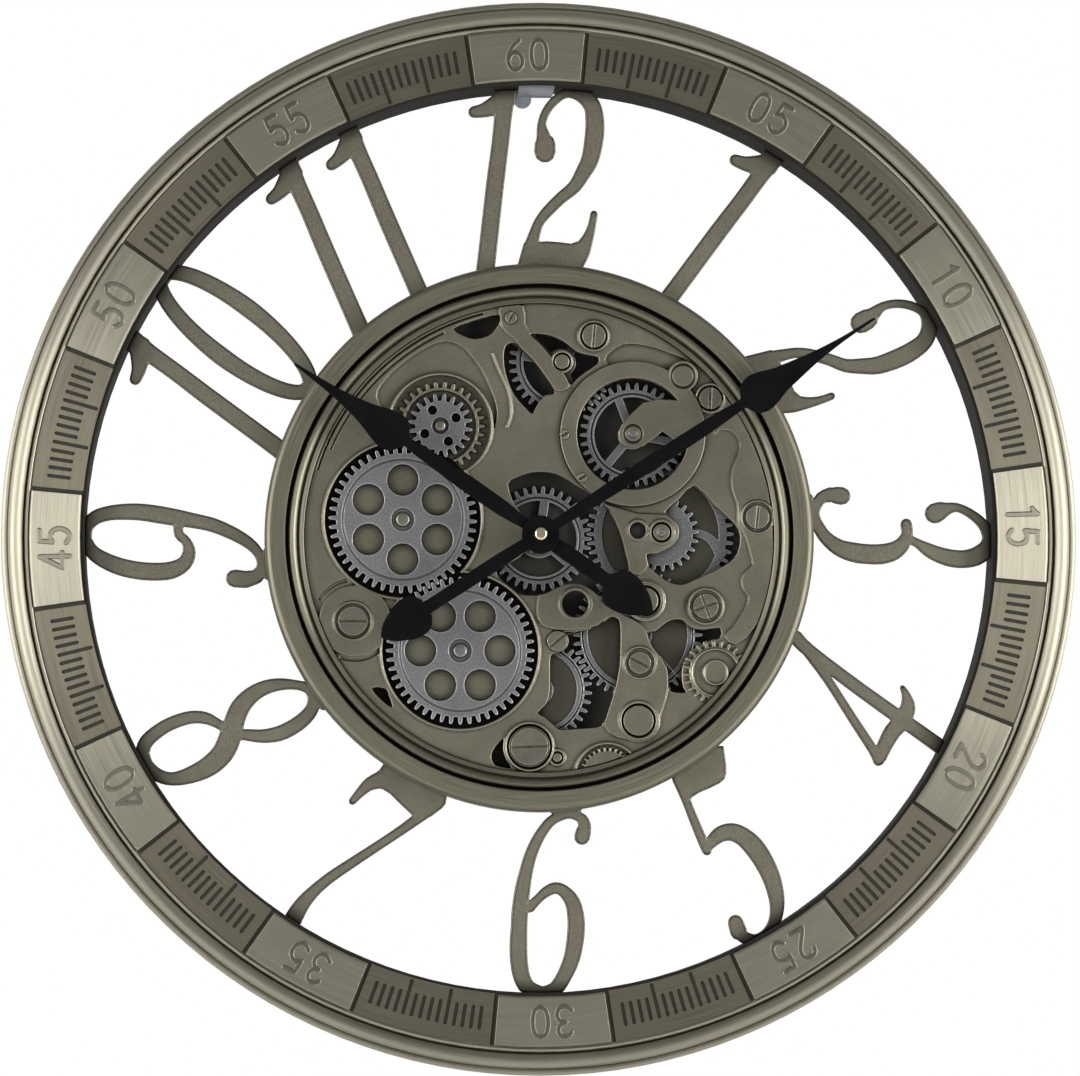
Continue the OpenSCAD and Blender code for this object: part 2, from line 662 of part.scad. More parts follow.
// DRUM, BEZEL AND DIAL RIM
module drum() {
    cover_z = case_back + 1;
    ledge_in = drum_in - drum_ledge;
    color(PEWTER) stand()
        difference() {
            rotate_extrude()
                polygon([
                    [drum_in, drum_back], [drum_r, drum_back], [drum_r, drum_front], [drum_in, drum_front],
                    [drum_in, main_back], [ledge_in, main_back], [ledge_in, main_back - sheet],
                    [drum_in, main_back - sheet], [drum_in, cover_z + sheet], [ledge_in, cover_z + sheet],
                    [ledge_in, cover_z], [drum_in, cover_z]
                ]);
            cover_holes(cover_z - 1, sheet + 2);
        }
}

// Holes for the rear cover's screws
module cover_holes(z, h) {
    for (k = [0 : 5])
        at(polar(drum_in - drum_ledge / 2, 30 + 60 * k), z) cylinder(d = screw_d + 0.2, h = h);
}

module bezel() {
    r1 = bezel_r;
    c = bezel_round;
    z1 = bezel_front;
    color(PEWTER) stand()
        rotate_extrude()
            polygon(concat(
                [[r1 - sheet, bezel_skirt], [r1, bezel_skirt]],
                arc([r1 - c, z1 - c], c, 0, 90, 8),
                [
                    [bezel_in_r + 0.5, z1], [bezel_in_r, z1 - 0.5], [bezel_in_r, dial_front],
                    [bezel_in_r + sheet, dial_front], [bezel_in_r + sheet, drum_front],
                    [r1 - sheet - 2, drum_front], [r1 - sheet, drum_front - 2]
                ]
            ));
}

module dial_rim() {
    bead_r = dial_bead / 2;
    bead_z = dial_front + 2.6;
    color(STEEL) stand()
        rotate_extrude()
            polygon(concat(
                [[dial_edge, dial_front], [dial_rim_r, dial_front]],
                arc([dial_rim_r - bead_r, bead_z], bead_r, 0, 180, 10),
                [
                    [dial_rim_r - dial_bead, dial_front + 1.2],
                    [dial_rim_r - dial_bead - 1.5, dial_front + 1.2],
                    [dial_rim_r - dial_bead - 1.5, dial_front + 2.6], [dial_edge + 0.4, dial_front + 2.6],
                    [dial_edge, dial_front + 2.2]
                ]
            ));
}

// Cover at the back, open over the movement and the battery box
box_at = dial_k * [-85, 10];
box_wall = 1.5;
box_w = 2 * cell_d + 2 * box_wall + 1;
box_l = cell_l + 2 * box_wall + 4.5;
cover_t = 2;
rail_gap = 0.3;
module rear_cover() {
    z0 = case_back + 1 - cover_t;
    lid_w = box_w + 2;
    color(DARK) stand()
        difference() {
            union() {
                translate([0, 0, z0])
                    linear_extrude(cover_t)
                        difference() {
                            circle(r = plate_r);
                            case_outline(0.5);
                            at(box_at)
                                square([box_w - 2 * box_wall, box_l - 2 * box_wall], center = true);
                            at(box_at - [0, box_l / 2 + 8]) square([12, 4], center = true);
                        }
                for (s = [-1, 1])
                    at(box_at + [s * (lid_w / 2 + rail_gap + 1), 0], z0) {
                        translate([-1, -box_l / 2, -2.5])
                            cube([2, box_l, 2.5]);
                        translate([s > 0 ? -2.3 : -1, -box_l / 2, -2.5])
                            cube([3.3, box_l, 0.6]);
                    }
            }
            cover_holes(z0 - 1, cover_t + 2);
        }
}

module cover_screws() {
    z0 = case_back + 1 - cover_t;
    color(STEEL) stand()
        for (k = [0 : 5])
            at(polar(drum_in - drum_ledge / 2, 30 + 60 * k), z0)
                difference() {
                    union() {
                        translate([0, 0, -1.3])
                            cylinder(d = 6, h = 1.3);
                        cylinder(d = screw_d, h = 6);
                    }
                    translate([-4, -slot_w / 2, -2])
                        cube([8, slot_w, 1.3]);
                }
}

// DIAL
// Pillars, and which of the dial screws run down into them: place and head radius
PILLARS = dial_k * [
    [-104, -47, 8.2], [95.8, 78.2, 6.2], [122, 11.5, 6.6], [93, -38.5, 7.1], [-16, 123, 3.3],
    [-90, 85, 0], [55, -103, 0]
];
// Screws that only reach into the dial plate
SHORT_SCREWS = dial_k * [[30.5, 113, 6.5], [56.1, -70.1, 6.2], [-5.5, -117, 10.5], [10, -58, 5.6]];
// Small screws of the ring bridge
BRIDGE_SCREWS = dial_k * [[14, 57.5, 2.6], [24, 33.5, 2.6]];

module main_plate() {
    color(BLACK) stand()
        translate([0, 0, main_back])
            linear_extrude(main_t)
                difference() {
                    circle(r = plate_r);
                    circle(d = bush_d + 0.2);
                    for (p = [at_ring, at_right, at_corner, at_bottom, at_lower])
                        at(p) circle(d = arbor_d + 2 * run_fit);
                    at(at_top) circle(d = arbor_d + 0.04);
                    at(at_motor) circle(d = 3 + 2 * run_fit);
                }
}

module pillars() {
    color(STEEL) stand()
        for (p = PILLARS)
            at(p, main_front)
                difference() {
                    cylinder(d = pillar_d, h = dial_back - main_front);
                    translate([0, 0, -1])
                        cylinder(d = screw_d + 0.2, h = dial_back);
                }
}

// Openings in the dial plate, clockwise from the upper left
WINDOW_CRESCENT = [
    [-48, 117], [-40, 120.5], [-31, 123.3], [-22.5, 125], [-22.3, 121], [-24.5, 117], [-28.5, 113.2],
    [-36, 111.3], [-43, 113.3]
];
WINDOW_TOP_LEFT = [
    [-18, 108.3], [-14, 109], [-10.5, 106.5], [-3, 99], [3, 91], [8.3, 83], [7.5, 80.3], [3.5, 80], [0, 76],
    [-2.5, 72], [-4, 69.4], [-8, 73], [-14, 80], [-17.5, 88], [-19.5, 96], [-19.7, 104]
];
WINDOW_TOP = [
    [-5, 113.8], [3, 114], [10, 112], [16, 108.3], [20.5, 104.5], [27, 102.5], [33, 101.3], [32.5, 97.5],
    [26, 93], [21, 89], [17.5, 85.5], [15.2, 89.5], [11, 96], [6, 102], [0, 109]
];
WINDOW_RIGHT = [
    [72, 16.5], [79, 22.5], [87, 29.5], [98, 18.5], [109, 8.5], [112.5, 1], [111, -8], [106.5, -13.5],
    [98, -18.5], [88, -23], [80, -26.3], [73, -25], [66, -20.5], [61.5, -15.5], [60, -9.5], [65, -9],
    [70, -7], [76, -3], [78.3, 3], [76.5, 8.5], [71, 13]
];
WINDOW_CENTRE = [
    [-17.5, 30], [-13, 33.5], [-6, 36], [0, 36.8], [8, 36], [15, 33], [20, 29.5], [28, 25], [36, 19],
    [40, 14.5], [43, 8], [46, 0], [48.5, -10], [50, -18], [44, -20.5], [40, -27], [35, -33], [30, -30],
    [25, -27], [20, -25.8], [14, -26.5], [8, -29], [3, -31.5], [-5, -32.5], [-12, -31], [-20, -25],
    [-24, -18.5], [-15, -13.5], [-8, -8], [-6, 2], [-8, 10], [-14.5, 20]
];
WINDOW_BOTTOM = [
    [14, -53], [24, -52], [33, -49], [39.5, -44.5], [44, -45.5], [45.3, -50], [45.3, -62], [44.8, -72],
    [42.5, -84], [38.5, -97], [35, -105], [28, -106.5], [20, -107], [12, -107.5], [8, -105], [3, -100.5],
    [-1, -98], [4, -93], [6, -85], [6, -75], [6.5, -66], [10, -64.5], [15, -62], [16.5, -58], [15.5, -54]
];
WINDOW_CORNER = [
    [60.5, -53.5], [65, -52.3], [69, -49], [74, -46], [80, -46], [84.5, -50], [92, -51.5], [101, -50.5],
    [101, -56], [95, -57.5], [88, -60.5], [84, -64.5], [80.5, -70], [79.5, -77], [80.5, -84], [82, -86.5],
    [76, -86.5], [72.3, -84.5], [72, -78], [71, -72], [68, -66.5], [63, -61]
];
WINDOW_FOOT = [
    [-20, -112.5], [-24.5, -117], [-26.8, -122], [-25, -127], [-20, -128.5], [-15.5, -128.8], [-18.5, -124],
    [-20.3, -118]
];
WINDOW_LOWER_LEFT = [[-93.5, -84.5], [-86, -84.5], [-84, -88.5], [-82, -95], [-87.5, -91.5]];

// Raised plates on the dial
RAISED_RIGHT = [
    [97, 58], [101.5, 60.3], [106, 60], [110, 57.5], [112.3, 53], [112, 49], [110, 44], [108, 38], [107.5, 31],
    [108.5, 25], [110.7, 19], [111, 14], [111, 8], [114, 3], [116.5, -3], [118, -9], [119.3, -15], [115, -19],
    [113, -24], [114, -29], [117, -33], [116, -37.5], [113, -43], [108, -50], [103.5, -55], [110, -60],
    [122, -48], [130, -20], [131, 0], [128, 28], [118, 57], [104, 80]
];
RAISED_HOLE = [
    [0, -31], [8, -28.5], [14, -26], [20, -25.3], [26, -27], [30, -30], [34, -36], [42, -41], [48, -44],
    [46, -48], [38, -45], [33, -49], [24, -51.5], [14, -52], [4, -50.5], [-1, -45]
];
RAISED_FINGER = [
    [36, 19], [40, 15], [43, 8], [46, 0], [50, -18], [56, -21], [61, -15.5], [60, -9.5], [65, -9], [70, -7],
    [76, -3], [78.3, 3], [76.5, 8.5], [71, 13], [55, 13.5]
];
RAISED_ARM = [
    [-22, 131], [-9, 130], [-8, 120], [-1, 110], [6, 103], [12, 96], [17.5, 85.5], [13, 82], [8.3, 83],
    [3, 91], [-3, 99], [-10.5, 106.5], [-15, 112], [-21, 118]
];
RAISED_LOW = [
    [44, -45.5], [45.3, -62], [42.5, -84], [36, -104], [44, -112], [58, -113], [66, -104], [72, -84],
    [71, -72], [63, -61], [60, -53], [56, -48], [48, -44]
];
// Plain bosses: place, radius, and hole radius
BOSSES = dial_k * [
    [30.5, 113, 9, 0], [-5.5, -117, 14, 0], [55.4, -102.4, 12, 0], [10, -123, 5, 0], [20.1, -37.2, 9.5, 7.4],
    [55, 4, 6.6, 4.5], [-103, -47, 20, 0], [68.3, 3, 7.5, 0], [93, -38.5, 10.5, 0],
    [59.2, -35.3, 11.2, 0], [122, 11.5, 10, 0]
];
// Turned ring grooves in the bosses: place, outer and inner radius
BOSS_RINGS = dial_k * [
    [55.4, -102.4, 9.6, 8.6], [68.3, 3, 5.7, 4.8], [10, -123, 3.4, 2.6], [12.75, 98.6, 5, 4.2],
    [59.2, -35.3, 8.6, 7.4], [-5.5, -117, 12.6, 11.6]
];
// Raised rings: place, outer and inner radius
RAISED_RINGS = dial_k * [
    [56.1, -70.1, 9.6, 8], [55.4, -102.4, 11.4, 9.6], [20.1, -37.2, 9.4, 7.4], [93, -38.5, 10.5, 8.9],
    [122, 11.5, 9.8, 8.3], [-104, -47, 11.4, 9.8], [30.5, 113, 8.9, 7.5], [55, 4, 6.4, 4.5],
    [68.3, 3, 7.5, 5.7], [59.2, -35.3, 10.9, 9.6], [95.8, 78.2, 8.6, 7.3], [-5.5, -117, 14, 12.6],
    [38, -133, 18.8, 17.3], [98.5, -75.5, 13.8, 12.6], [98.5, -75.5, 7.2, 6]
];
// Raised line beside the small wheel's sunken part
RIDGE = [[-26, 103, 1.5], [-22, 93, 1.5], [-17, 82, 1.5], [-15.5, 70, 1.5], [-18, 62, 1.5]];
// Long grooves: place, outer and inner radius, first and last angle
GROOVES = [
    [0, 0, 127, 126, 115, 157], [0, 0, 129.9, 129, 104, 163], [-103, -47, 22.4, 20.6, 248, 322],
    [-103, -47, 24, 22.4, 100, 149]
];
// Sunken parts
SUNK_SMALL = [
    [-88, 86], [-80, 94.5], [-71, 101.5], [-62, 107], [-53, 109.8], [-46, 108.3], [-40, 104], [-33, 95],
    [-28, 85], [-24.5, 75], [-24, 66], [-30, 56], [-50, 54], [-72, 58], [-86, 70], [-91, 79]
];
RECESS_BRIDGE = [
    [37, 100], [41, 105], [47, 108.3], [55, 108.5], [65, 106.5], [73, 103.5], [81, 100.5], [82, 97],
    [76, 92], [66, 94], [52, 95.5], [42, 95]
];

module dial_windows() {
    difference() {
        union() {
            for (w = [
                WINDOW_CRESCENT, WINDOW_TOP_LEFT, WINDOW_TOP, WINDOW_RIGHT, WINDOW_CENTRE, WINDOW_BOTTOM,
                WINDOW_CORNER, WINDOW_FOOT, WINDOW_LOWER_LEFT
            ])
                polygon(loop(w * dial_k, 2));
            at(at_ring) circle(r = ring_in);
            for (b = BOSSES)
                if (b[3] > 0)
                    at(b) circle(r = b[3]);
        }
        at(at_top) circle(r = 6.5 * dial_k);
    }
}

// Pocket radius of a wheel
function pocket_r(n) = n * front_module / 2 + 0.8 * front_module + pocket_gap;
small_pocket = 28.3 * dial_k;

module pockets(grow) {
    at(at_left) circle(r = pocket_r(big_n) + grow);
    at(at_lower) circle(r = pocket_r(big_n) + grow);
    at(at_small) circle(r = small_pocket + grow);
}

// Bores that go right through the dial plate
module dial_bores() {
    for (p = [at_right, at_lower])
        at(p) circle(d = arbor_d + 2 * run_fit);
    at(at_left) circle(d = stud_d + 0.04);
    at(at_small) circle(d = small_stud_d + 0.04);
    for (p = PILLARS)
        if (p[2] > 0)
            at(p) circle(d = screw_d + 0.2);
}

module short_bores() {
    for (p = SHORT_SCREWS)
        at(p) circle(d = screw_d + 0.2);
    for (p = BRIDGE_SCREWS)
        at(p) circle(d = 1.7);
}

// Moulded gear that does not turn, at the lower right
module sham_gear() {
    at(dial_k * [98.5, -75.5])
        difference() {
            polygon(gear(24, 1.4 * dial_k, 4, 0.8, 1.4));
            band(12.6 * dial_k, 6 * dial_k);
        }
}

// Parts cut down from the dial plate's front
module dial_cuts() {
    translate([0, 0, dial_t - sunk_t])
        linear_extrude(sunk_t + 1)
            difference() {
                polygon(loop(SUNK_SMALL * dial_k, 2));
                pockets(lip_w);
            }
    translate([0, 0, dial_t - recess_t])
        linear_extrude(recess_t + 1)
            polygon(loop(RECESS_BRIDGE * dial_k, 2));
    for (g = GROOVES)
        at(dial_k * [g[0], g[1]], dial_t - groove_t)
            linear_extrude(groove_t + 1)
                polygon(concat(
                    arc([0, 0], g[2] * dial_k, g[4], g[5], 24),
                    arc([0, 0], g[3] * dial_k, g[5], g[4], 24)
                ));
}

module dial_plate() {
    color(PEWTER) stand()
        translate([0, 0, dial_back]) {
            linear_extrude(dial_floor)
                difference() {
                    circle(r = plate_r);
                    dial_windows();
                    dial_bores();
                    for (p = [at_bottom, at_corner])
                        at(p) circle(d = arbor_d + 2 * run_fit);
                    at(at_top) circle(d = arbor_d + 0.04);
                }
            difference() {
                translate([0, 0, dial_floor])
                    linear_extrude(dial_t - dial_floor)
                        difference() {
                            circle(r = plate_r);
                            dial_windows();
                            dial_bores();
                            pockets(0);
                            short_bores();
                        }
                dial_cuts();
            }
            translate([0, 0, dial_floor])
                linear_extrude(2.2)
                    difference() {
                        at(at_small) polygon(gear(30, 1.6 * dial_k, 0, 0.8, 1.4));
                        at(at_small) circle(r = 20 * dial_k);
                        at(at_left) circle(r = pocket_r(big_n));
                    }
            translate([0, 0, dial_t])
                linear_extrude(relief_t)
                    difference() {
                        union() {
                            for (w = [RAISED_RIGHT, RAISED_HOLE, RAISED_FINGER, RAISED_ARM, RAISED_LOW])
                                polygon(loop(w * dial_k, 2));
                            polygon(pen(curve(RIDGE * dial_k, 3), 4));
                            at(dial_k * [38, -133]) polygon(gear(30, dial_k, 0, 0.9, 1.2));
                            for (b = BOSSES)
                                at(b) circle(r = b[2]);
                            sham_gear();
                            pockets(lip_w);
                            at(at_top) circle(r = 6.5 * dial_k);
                        }
                        for (b = BOSS_RINGS)
                            at(b) band(b[2], b[3]);
                        dial_windows();
                        dial_bores();
                        pockets(0);
                        short_bores();
                        at(at_ring) circle(r = ring_out + 0.4);
                        band(plate_r * 1.2, dial_edge - 0.3);
                    }
            translate([0, 0, dial_t])
                linear_extrude(relief_t + ring_t)
                    difference() {
                        for (b = RAISED_RINGS)
                            at(b) band(b[2], b[3]);
                        dial_windows();
                        dial_bores();
                        pockets(0);
                        at(at_ring) circle(r = ring_out + 0.4);
                        band(plate_r * 1.2, dial_edge - 0.3);
                    }
        }
}

// Ring round the ring wheel, with the lever that holds the wheel's front pivot
LEVER = dial_k * [
    [46, 63], [52, 70], [58, 75.5], [67, 77.5], [77, 77], [80, 76], [84, 69], [86, 62], [85, 54], [80, 50],
    [76, 54], [73, 56.5], [69, 59.5], [66, 57], [58, 51], [52.4, 50.5]
];
bridge_ear = dial_k * [80.4, 90.6];
module ring_bridge() {
    color(STEEL) stand()
        translate([0, 0, dial_front])
            difference() {
                union() {
                    at(at_ring)
                        linear_extrude(bridge_t)
                            band(ring_out, ring_in);
                    linear_extrude(bridge_t)
                        polygon(LEVER);
                    at(at_ring) cylinder(r = 8, h = bridge_t);
                    at(bridge_ear) cylinder(r = 8.6 * dial_k, h = bridge_t);
                }
                at(bridge_ear, bridge_t - groove_t)
                    linear_extrude(1)
                        band(7 * dial_k, 6 * dial_k);
                at(at_ring, bridge_t - groove_t)
                    linear_extrude(1)
                        band(5.4, 4.4);
                at(at_ring, -1) cylinder(d = arbor_d + 2 * run_fit, h = bridge_t + 2);
                for (p = BRIDGE_SCREWS)
                    at(p, -1) cylinder(d = 1.7, h = bridge_t + 2);
            }
}

// A screw with its head's underside at z = 0
module screw(r, d, h, l, turn, cross = false) {
    difference() {
        union() {
            cylinder(r = r, h = h);
            translate([0, 0, -l])
                cylinder(d = d, h = l);
        }
        for (a = cross ? [0, 90] : [0])
            rotate(turn + a)
                translate([-r - 1, -slot_w / 2, h - 0.8])
                    cube([2 * r + 2, slot_w, 2]);
    }
}

module dial_screws() {
    color(STEEL) stand() {
        for (i = [0 : 4])
            at(PILLARS[i], dial_front + (i == 1 ? 0 : relief_t))
                screw(PILLARS[i][2], screw_d, 1.6, 10, [0, 88, 84, 20, 60][i], i == 3);
        for (i = [0 : 3])
            at(SHORT_SCREWS[i], dial_front + (i == 3 ? 0 : relief_t))
                screw(SHORT_SCREWS[i][2], screw_d, 1.6, 3, [85, -28, 2, 40][i]);
        for (p = BRIDGE_SCREWS)
            at(p, dial_front + bridge_t) screw(p[2], 1.5, 0.8, 4, 30);
    }
}

// Domed head of a stud or arbor
module rivet_head(r) {
    rotate_extrude()
        polygon(concat(
            [[0, 0], [r, 0]], arc([r - 1.2, hub_sunk - 0.2], 1.2, 0, 90, 5), [[0, hub_sunk + 1.2]]
        ));
}

// Fixed studs: left wheel and small wheel in the dial plate, top wheel in the main plate
module wheel_studs() {
    head_z = pocket_wheel_z + pocket_wheel_t - hub_sunk + 0.1;
    color(STEEL) stand() {
        for (s = [[at_left, stud_d, 4], [at_small, small_stud_d, 3]])
            at(s[0]) {
                translate([0, 0, dial_back - 0.8]) {
                    cylinder(d = s[1] + 2, h = 0.8);
                    cylinder(d = s[1], h = head_z - dial_back + 0.8);
                }
                translate([0, 0, head_z])
                    rivet_head(s[2]);
            }
        at(at_top, main_back) {
            cylinder(d = arbor_d, h = pocket_z - main_back);
            translate([0, 0, main_t])
                cylinder(d = 7, h = wheel2_z - 0.4 - main_front);
        }
    }
}

// WHEELS
// Big wheel with six holes and a turned groove
module big_wheel(turn, bore, first) {
    difference() {
        linear_extrude(pocket_wheel_t)
            difference() {
                polygon(gear(big_n, front_module, turn, 0.8, 1.7));
                for (k = [0 : 5])
                    rotate(60 * k + first)
                        translate([wheel_hole_r * dial_k, 0])
                            circle(d = wheel_hole_d * dial_k);
                circle(d = bore);
            }
        translate([0, 0, pocket_wheel_t - 0.6])
            linear_extrude(1)
                band(34.2 * dial_k, 33.1 * dial_k);
        translate([0, 0, pocket_wheel_t - hub_sunk])
            linear_extrude(hub_sunk + 1)
                band(6.4, bore / 2 - 0.5);
    }
}

// Turning arbor with its link wheel behind the main plate
module arbor(n, turn, top) {
    translate([0, 0, link_z]) {
        linear_extrude(link_t)
            polygon(gear(n, link_module, turn));
        translate([0, 0, -0.5])
            cylinder(d = arbor_d, h = top - link_z + 0.5);
        translate([0, 0, link_t])
            cylinder(d = arbor_d + 3, h = main_back - link_z - link_t - 0.4);
    }
}

// Spoked wheel behind the dial plate
module spoked_wheel(n, turn, rim, spokes, spoke_w, hub, bore) {
    root = n * front_module / 2 - 1.7 * front_module;
    difference() {
        linear_extrude(deep_wheel_t)
            difference() {
                union() {
                    difference() {
                        polygon(gear(n, front_module, turn, 0.8, 1.7));
                        circle(r = root - rim);
                    }
                    for (a = spokes)
                        rotate(a)
                            translate([0, -spoke_w / 2])
                                square([root - rim / 2, spoke_w]);
                    circle(r = hub);
                }
                circle(d = bore);
            }
        translate([0, 0, deep_wheel_t - web_sunk])
            linear_extrude(web_sunk + 1)
                band(root - 1.9, root - 2.8);
    }
}

// Wheel with a thin web behind the dial plate
module webbed_wheel(n, turn, rim, hub, bore) {
    root = n * front_module / 2 - 1.7 * front_module;
    difference() {
        linear_extrude(deep_wheel_t)
            difference() {
                polygon(gear(n, front_module, turn, 0.8, 1.7));
                circle(d = bore);
            }
        translate([0, 0, deep_wheel_t - web_sunk])
            linear_extrude(web_sunk + 1)
                band(root - rim, hub);
        translate([0, 0, deep_wheel_t - web_sunk])
            linear_extrude(web_sunk + 1)
                band(root - 0.9, root - 1.6);
    }
}

module left_wheel() {
    color(STEEL) stand()
        at(at_left, pocket_wheel_z) big_wheel(turn_left, stud_d + 2 * run_fit, 30);
}

module lower_wheel() {
    color(STEEL) stand()
        at(at_lower, pocket_wheel_z) big_wheel(turn_lower, arbor_d + 0.04, 0);
}

module small_wheel() {
    color(STEEL) stand()
        at(at_small, pocket_wheel_z)
            difference() {
                linear_extrude(pocket_wheel_t)
                    difference() {
                        polygon(gear(small_n, front_module, turn_small, 0.8, 1.6));
                        for (k = [0 : 3])
                            rotate(90 * k + 27)
                                translate([9.8 * dial_k, 0])
                                    circle(d = 5.2 * dial_k);
                        circle(d = small_stud_d + 2 * run_fit);
                    }
                translate([0, 0, pocket_wheel_t - hub_sunk])
                    linear_extrude(hub_sunk + 1)
                        band(4.7, small_stud_d / 2 - 0.5);
            }
}

module centre_wheel() {
    color(STEEL) stand()
        at(at_centre, wheel1_z)
            spoked_wheel(mid_n, turn_centre, 4.2, [80.7, 200.7, 320.7], 5, 11, sleeve_d + 2 * run_fit);
}

module top_wheel() {
    color(STEEL) stand()
        at(at_top, wheel2_z)
            spoked_wheel(mid_n, turn_top, 4.2, [50, 170, 290], 4.6, 8, arbor_d + 2 * run_fit);
}

module ring_wheel() {
    color(STEEL) stand()
        at(at_ring, wheel2_z)
            spoked_wheel(mid_n, turn_ring, 4.2, [111, 230, 350], 4.6, 8, arbor_d + 0.04);
}

// Wheel with three curved spokes
module right_wheel() {
    root = big_n * front_module / 2 - 1.7 * front_module;
    color(STEEL) stand()
        at(at_right, wheel1_z)
            linear_extrude(deep_wheel_t)
                difference() {
                    union() {
                        difference() {
                            polygon(gear(big_n, front_module, turn_right, 0.8, 1.7));
                            circle(r = root - 4.4);
                        }
                        for (a = [100, 220, 340])
                            rotate(a)
                                polygon(pen(curve(
                                    dial_k * [[6, 2, 7], [16, 7, 5], [26, 7.5, 5], [35.2, 2, 7]], 4
                                )));
                        circle(r = 10);
                    }
                    circle(d = arbor_d + 0.04);
                }
    color(STEEL) stand()
        at(at_right, wheel1_z)
            linear_extrude(deep_wheel_t - web_sunk)
                band(root - 4, arbor_d / 2 + 0.02);
}

module bottom_wheel() {
    color(STEEL) stand()
        at(at_bottom, wheel2_z) webbed_wheel(mid_n, turn_bottom, 4.2, 8, arbor_d + 0.04);
}

module corner_wheel() {
    color(STEEL) stand()
        at(at_corner, wheel2_z) webbed_wheel(corner_n, turn_corner, 4.2, 8, arbor_d + 0.04);
}

module lower_arbor() {
    top = pocket_wheel_z + pocket_wheel_t;
    color(STEEL) stand()
        at(at_lower)
            union() {
                arbor(link_lower_n, link_lower_turn, top);
                translate([0, 0, top - hub_sunk])
                    rivet_head(4);
            }
}

module ring_arbor() {
    color(STEEL) stand()
        at(at_ring) arbor(link_ring_n, link_ring_turn, dial_front + bridge_t - 0.3);
}

// This arbor also carries the smaller wheel seen in front of the right wheel
module right_arbor() {
    color(STEEL) stand()
        at(at_right) {
            arbor(link_right_n, link_right_turn, dial_front + relief_t - 0.3);
            translate([0, 0, wheel2_z])
                linear_extrude(deep_wheel_t)
                    polygon(gear(24, front_module, 3));
        }
}

module bottom_arbor() {
    color(STEEL) stand()
        at(at_bottom) arbor(link_bottom_n, link_bottom_turn, pocket_z - 0.1);
}

module corner_arbor() {
    color(STEEL) stand()
        at(at_corner) arbor(link_corner_n, link_corner_turn, pocket_z - 0.1);
}

// DRIVE OF THE WHEELS
module gear_motor() {
    color(DARK) stand()
        at(at_motor, main_back - motor_l)
            difference() {
                union() {
                    cylinder(d = motor_d * dial_k, h = motor_l);
                    translate([0, 0, -1])
                        cylinder(d = 10, h = 1);
                }
                translate([0, 0, motor_l - 8])
                    cylinder(d = 3 + 2 * run_fit, h = 9);
            }
}

module motor_pinion() {
    color(BRASS) stand()
        at(at_motor) {
            translate([0, 0, main_back - 7])
                cylinder(d = 3, h = wheel2_z + deep_wheel_t - main_back + 7);
            translate([0, 0, wheel2_z])
                linear_extrude(deep_wheel_t)
                    polygon(gear(pinion_n, front_module, turn_motor));
        }
}

// Box for two cells, with a ledge that carries the switch
module battery_box() {
    z0 = case_back + 1;
    h = main_back - z0;
    color(BLACK) stand()
        at(box_at, z0)
            difference() {
                union() {
                    translate([-box_w / 2, -box_l / 2, 0])
                        cube([box_w, box_l, h]);
                    translate([-9, -box_l / 2 - 13, 2.2])
                        cube([18, 13 + e, h - 2.2]);
                }
                translate([-box_w / 2 + box_wall, -box_l / 2 + box_wall, -1])
                    cube([box_w - 2 * box_wall, box_l - 2 * box_wall, h + 1 - box_wall]);
            }
}

// Cover that slides down between the rear cover's rails
module box_cover() {
    z0 = case_back + 1 - cover_t;
    color(BLACK) stand()
        at(box_at, z0 - 1.9)
            difference() {
                translate([-box_w / 2 - 1, -box_l / 2, 0])
                    cube([box_w + 2, box_l, 1.6]);
                for (k = [0 : 4])
                    translate([-8, -box_l / 2 + 6 + 2.4 * k, -1])
                        cube([16, 1.1, 1.5]);
            }
}

module switch_slide() {
    z0 = case_back + 1;
    color(STEEL) stand()
        at(box_at - [0, box_l / 2 + 8], z0) {
            translate([-6, -3.4, 0.3])
                cube([12, 6.8, 1.6]);
            translate([-5.6, -1.7, -3.4])
                cube([5, 3.4, 4]);
        }
}

// A cell with its positive tip, along +X from the middle
module cell() {
    rotate([0, 90, 0]) {
        translate([0, 0, -cell_l / 2])
            cylinder(d = cell_d, h = cell_l - 1);
        translate([0, 0, cell_l / 2 - 1])
            cylinder(d = 5.5, h = 1);
    }
}

cell_z = main_back - box_wall - 0.1 - cell_d / 2;
cell_y = 19.1;
bay_y = cell_y - cell_d / 2 - 0.35;
bay_wall = 1.2;
// Room past the cell's ends for the contact springs, and above the cell
bay_room = 2.5;
bay_w = cell_l + bay_room + 2 * case_wall;
bay_top = cell_y + cell_d / 2 + 0.15 + case_wall;

// Outline of the movement's case: a square and the cell bay on top, grown by g
module case_outline(g) {
    polygon(rounded(case_w / 2 + g, 3.5 + g));
    translate([-bay_w / 2 - g, bay_y - bay_wall - g])
        square([bay_w + 2 * g, bay_top - bay_y + bay_wall + 2 * g]);
}

module aa_cells() {
    color(BRASS) stand() {
        for (s = [-1, 1])
            at(box_at + [s * (cell_d / 2 + 0.2), 0], cell_z)
                rotate(90 * s)
                    cell();
        at([0, cell_y], cell_z) cell();
    }
}

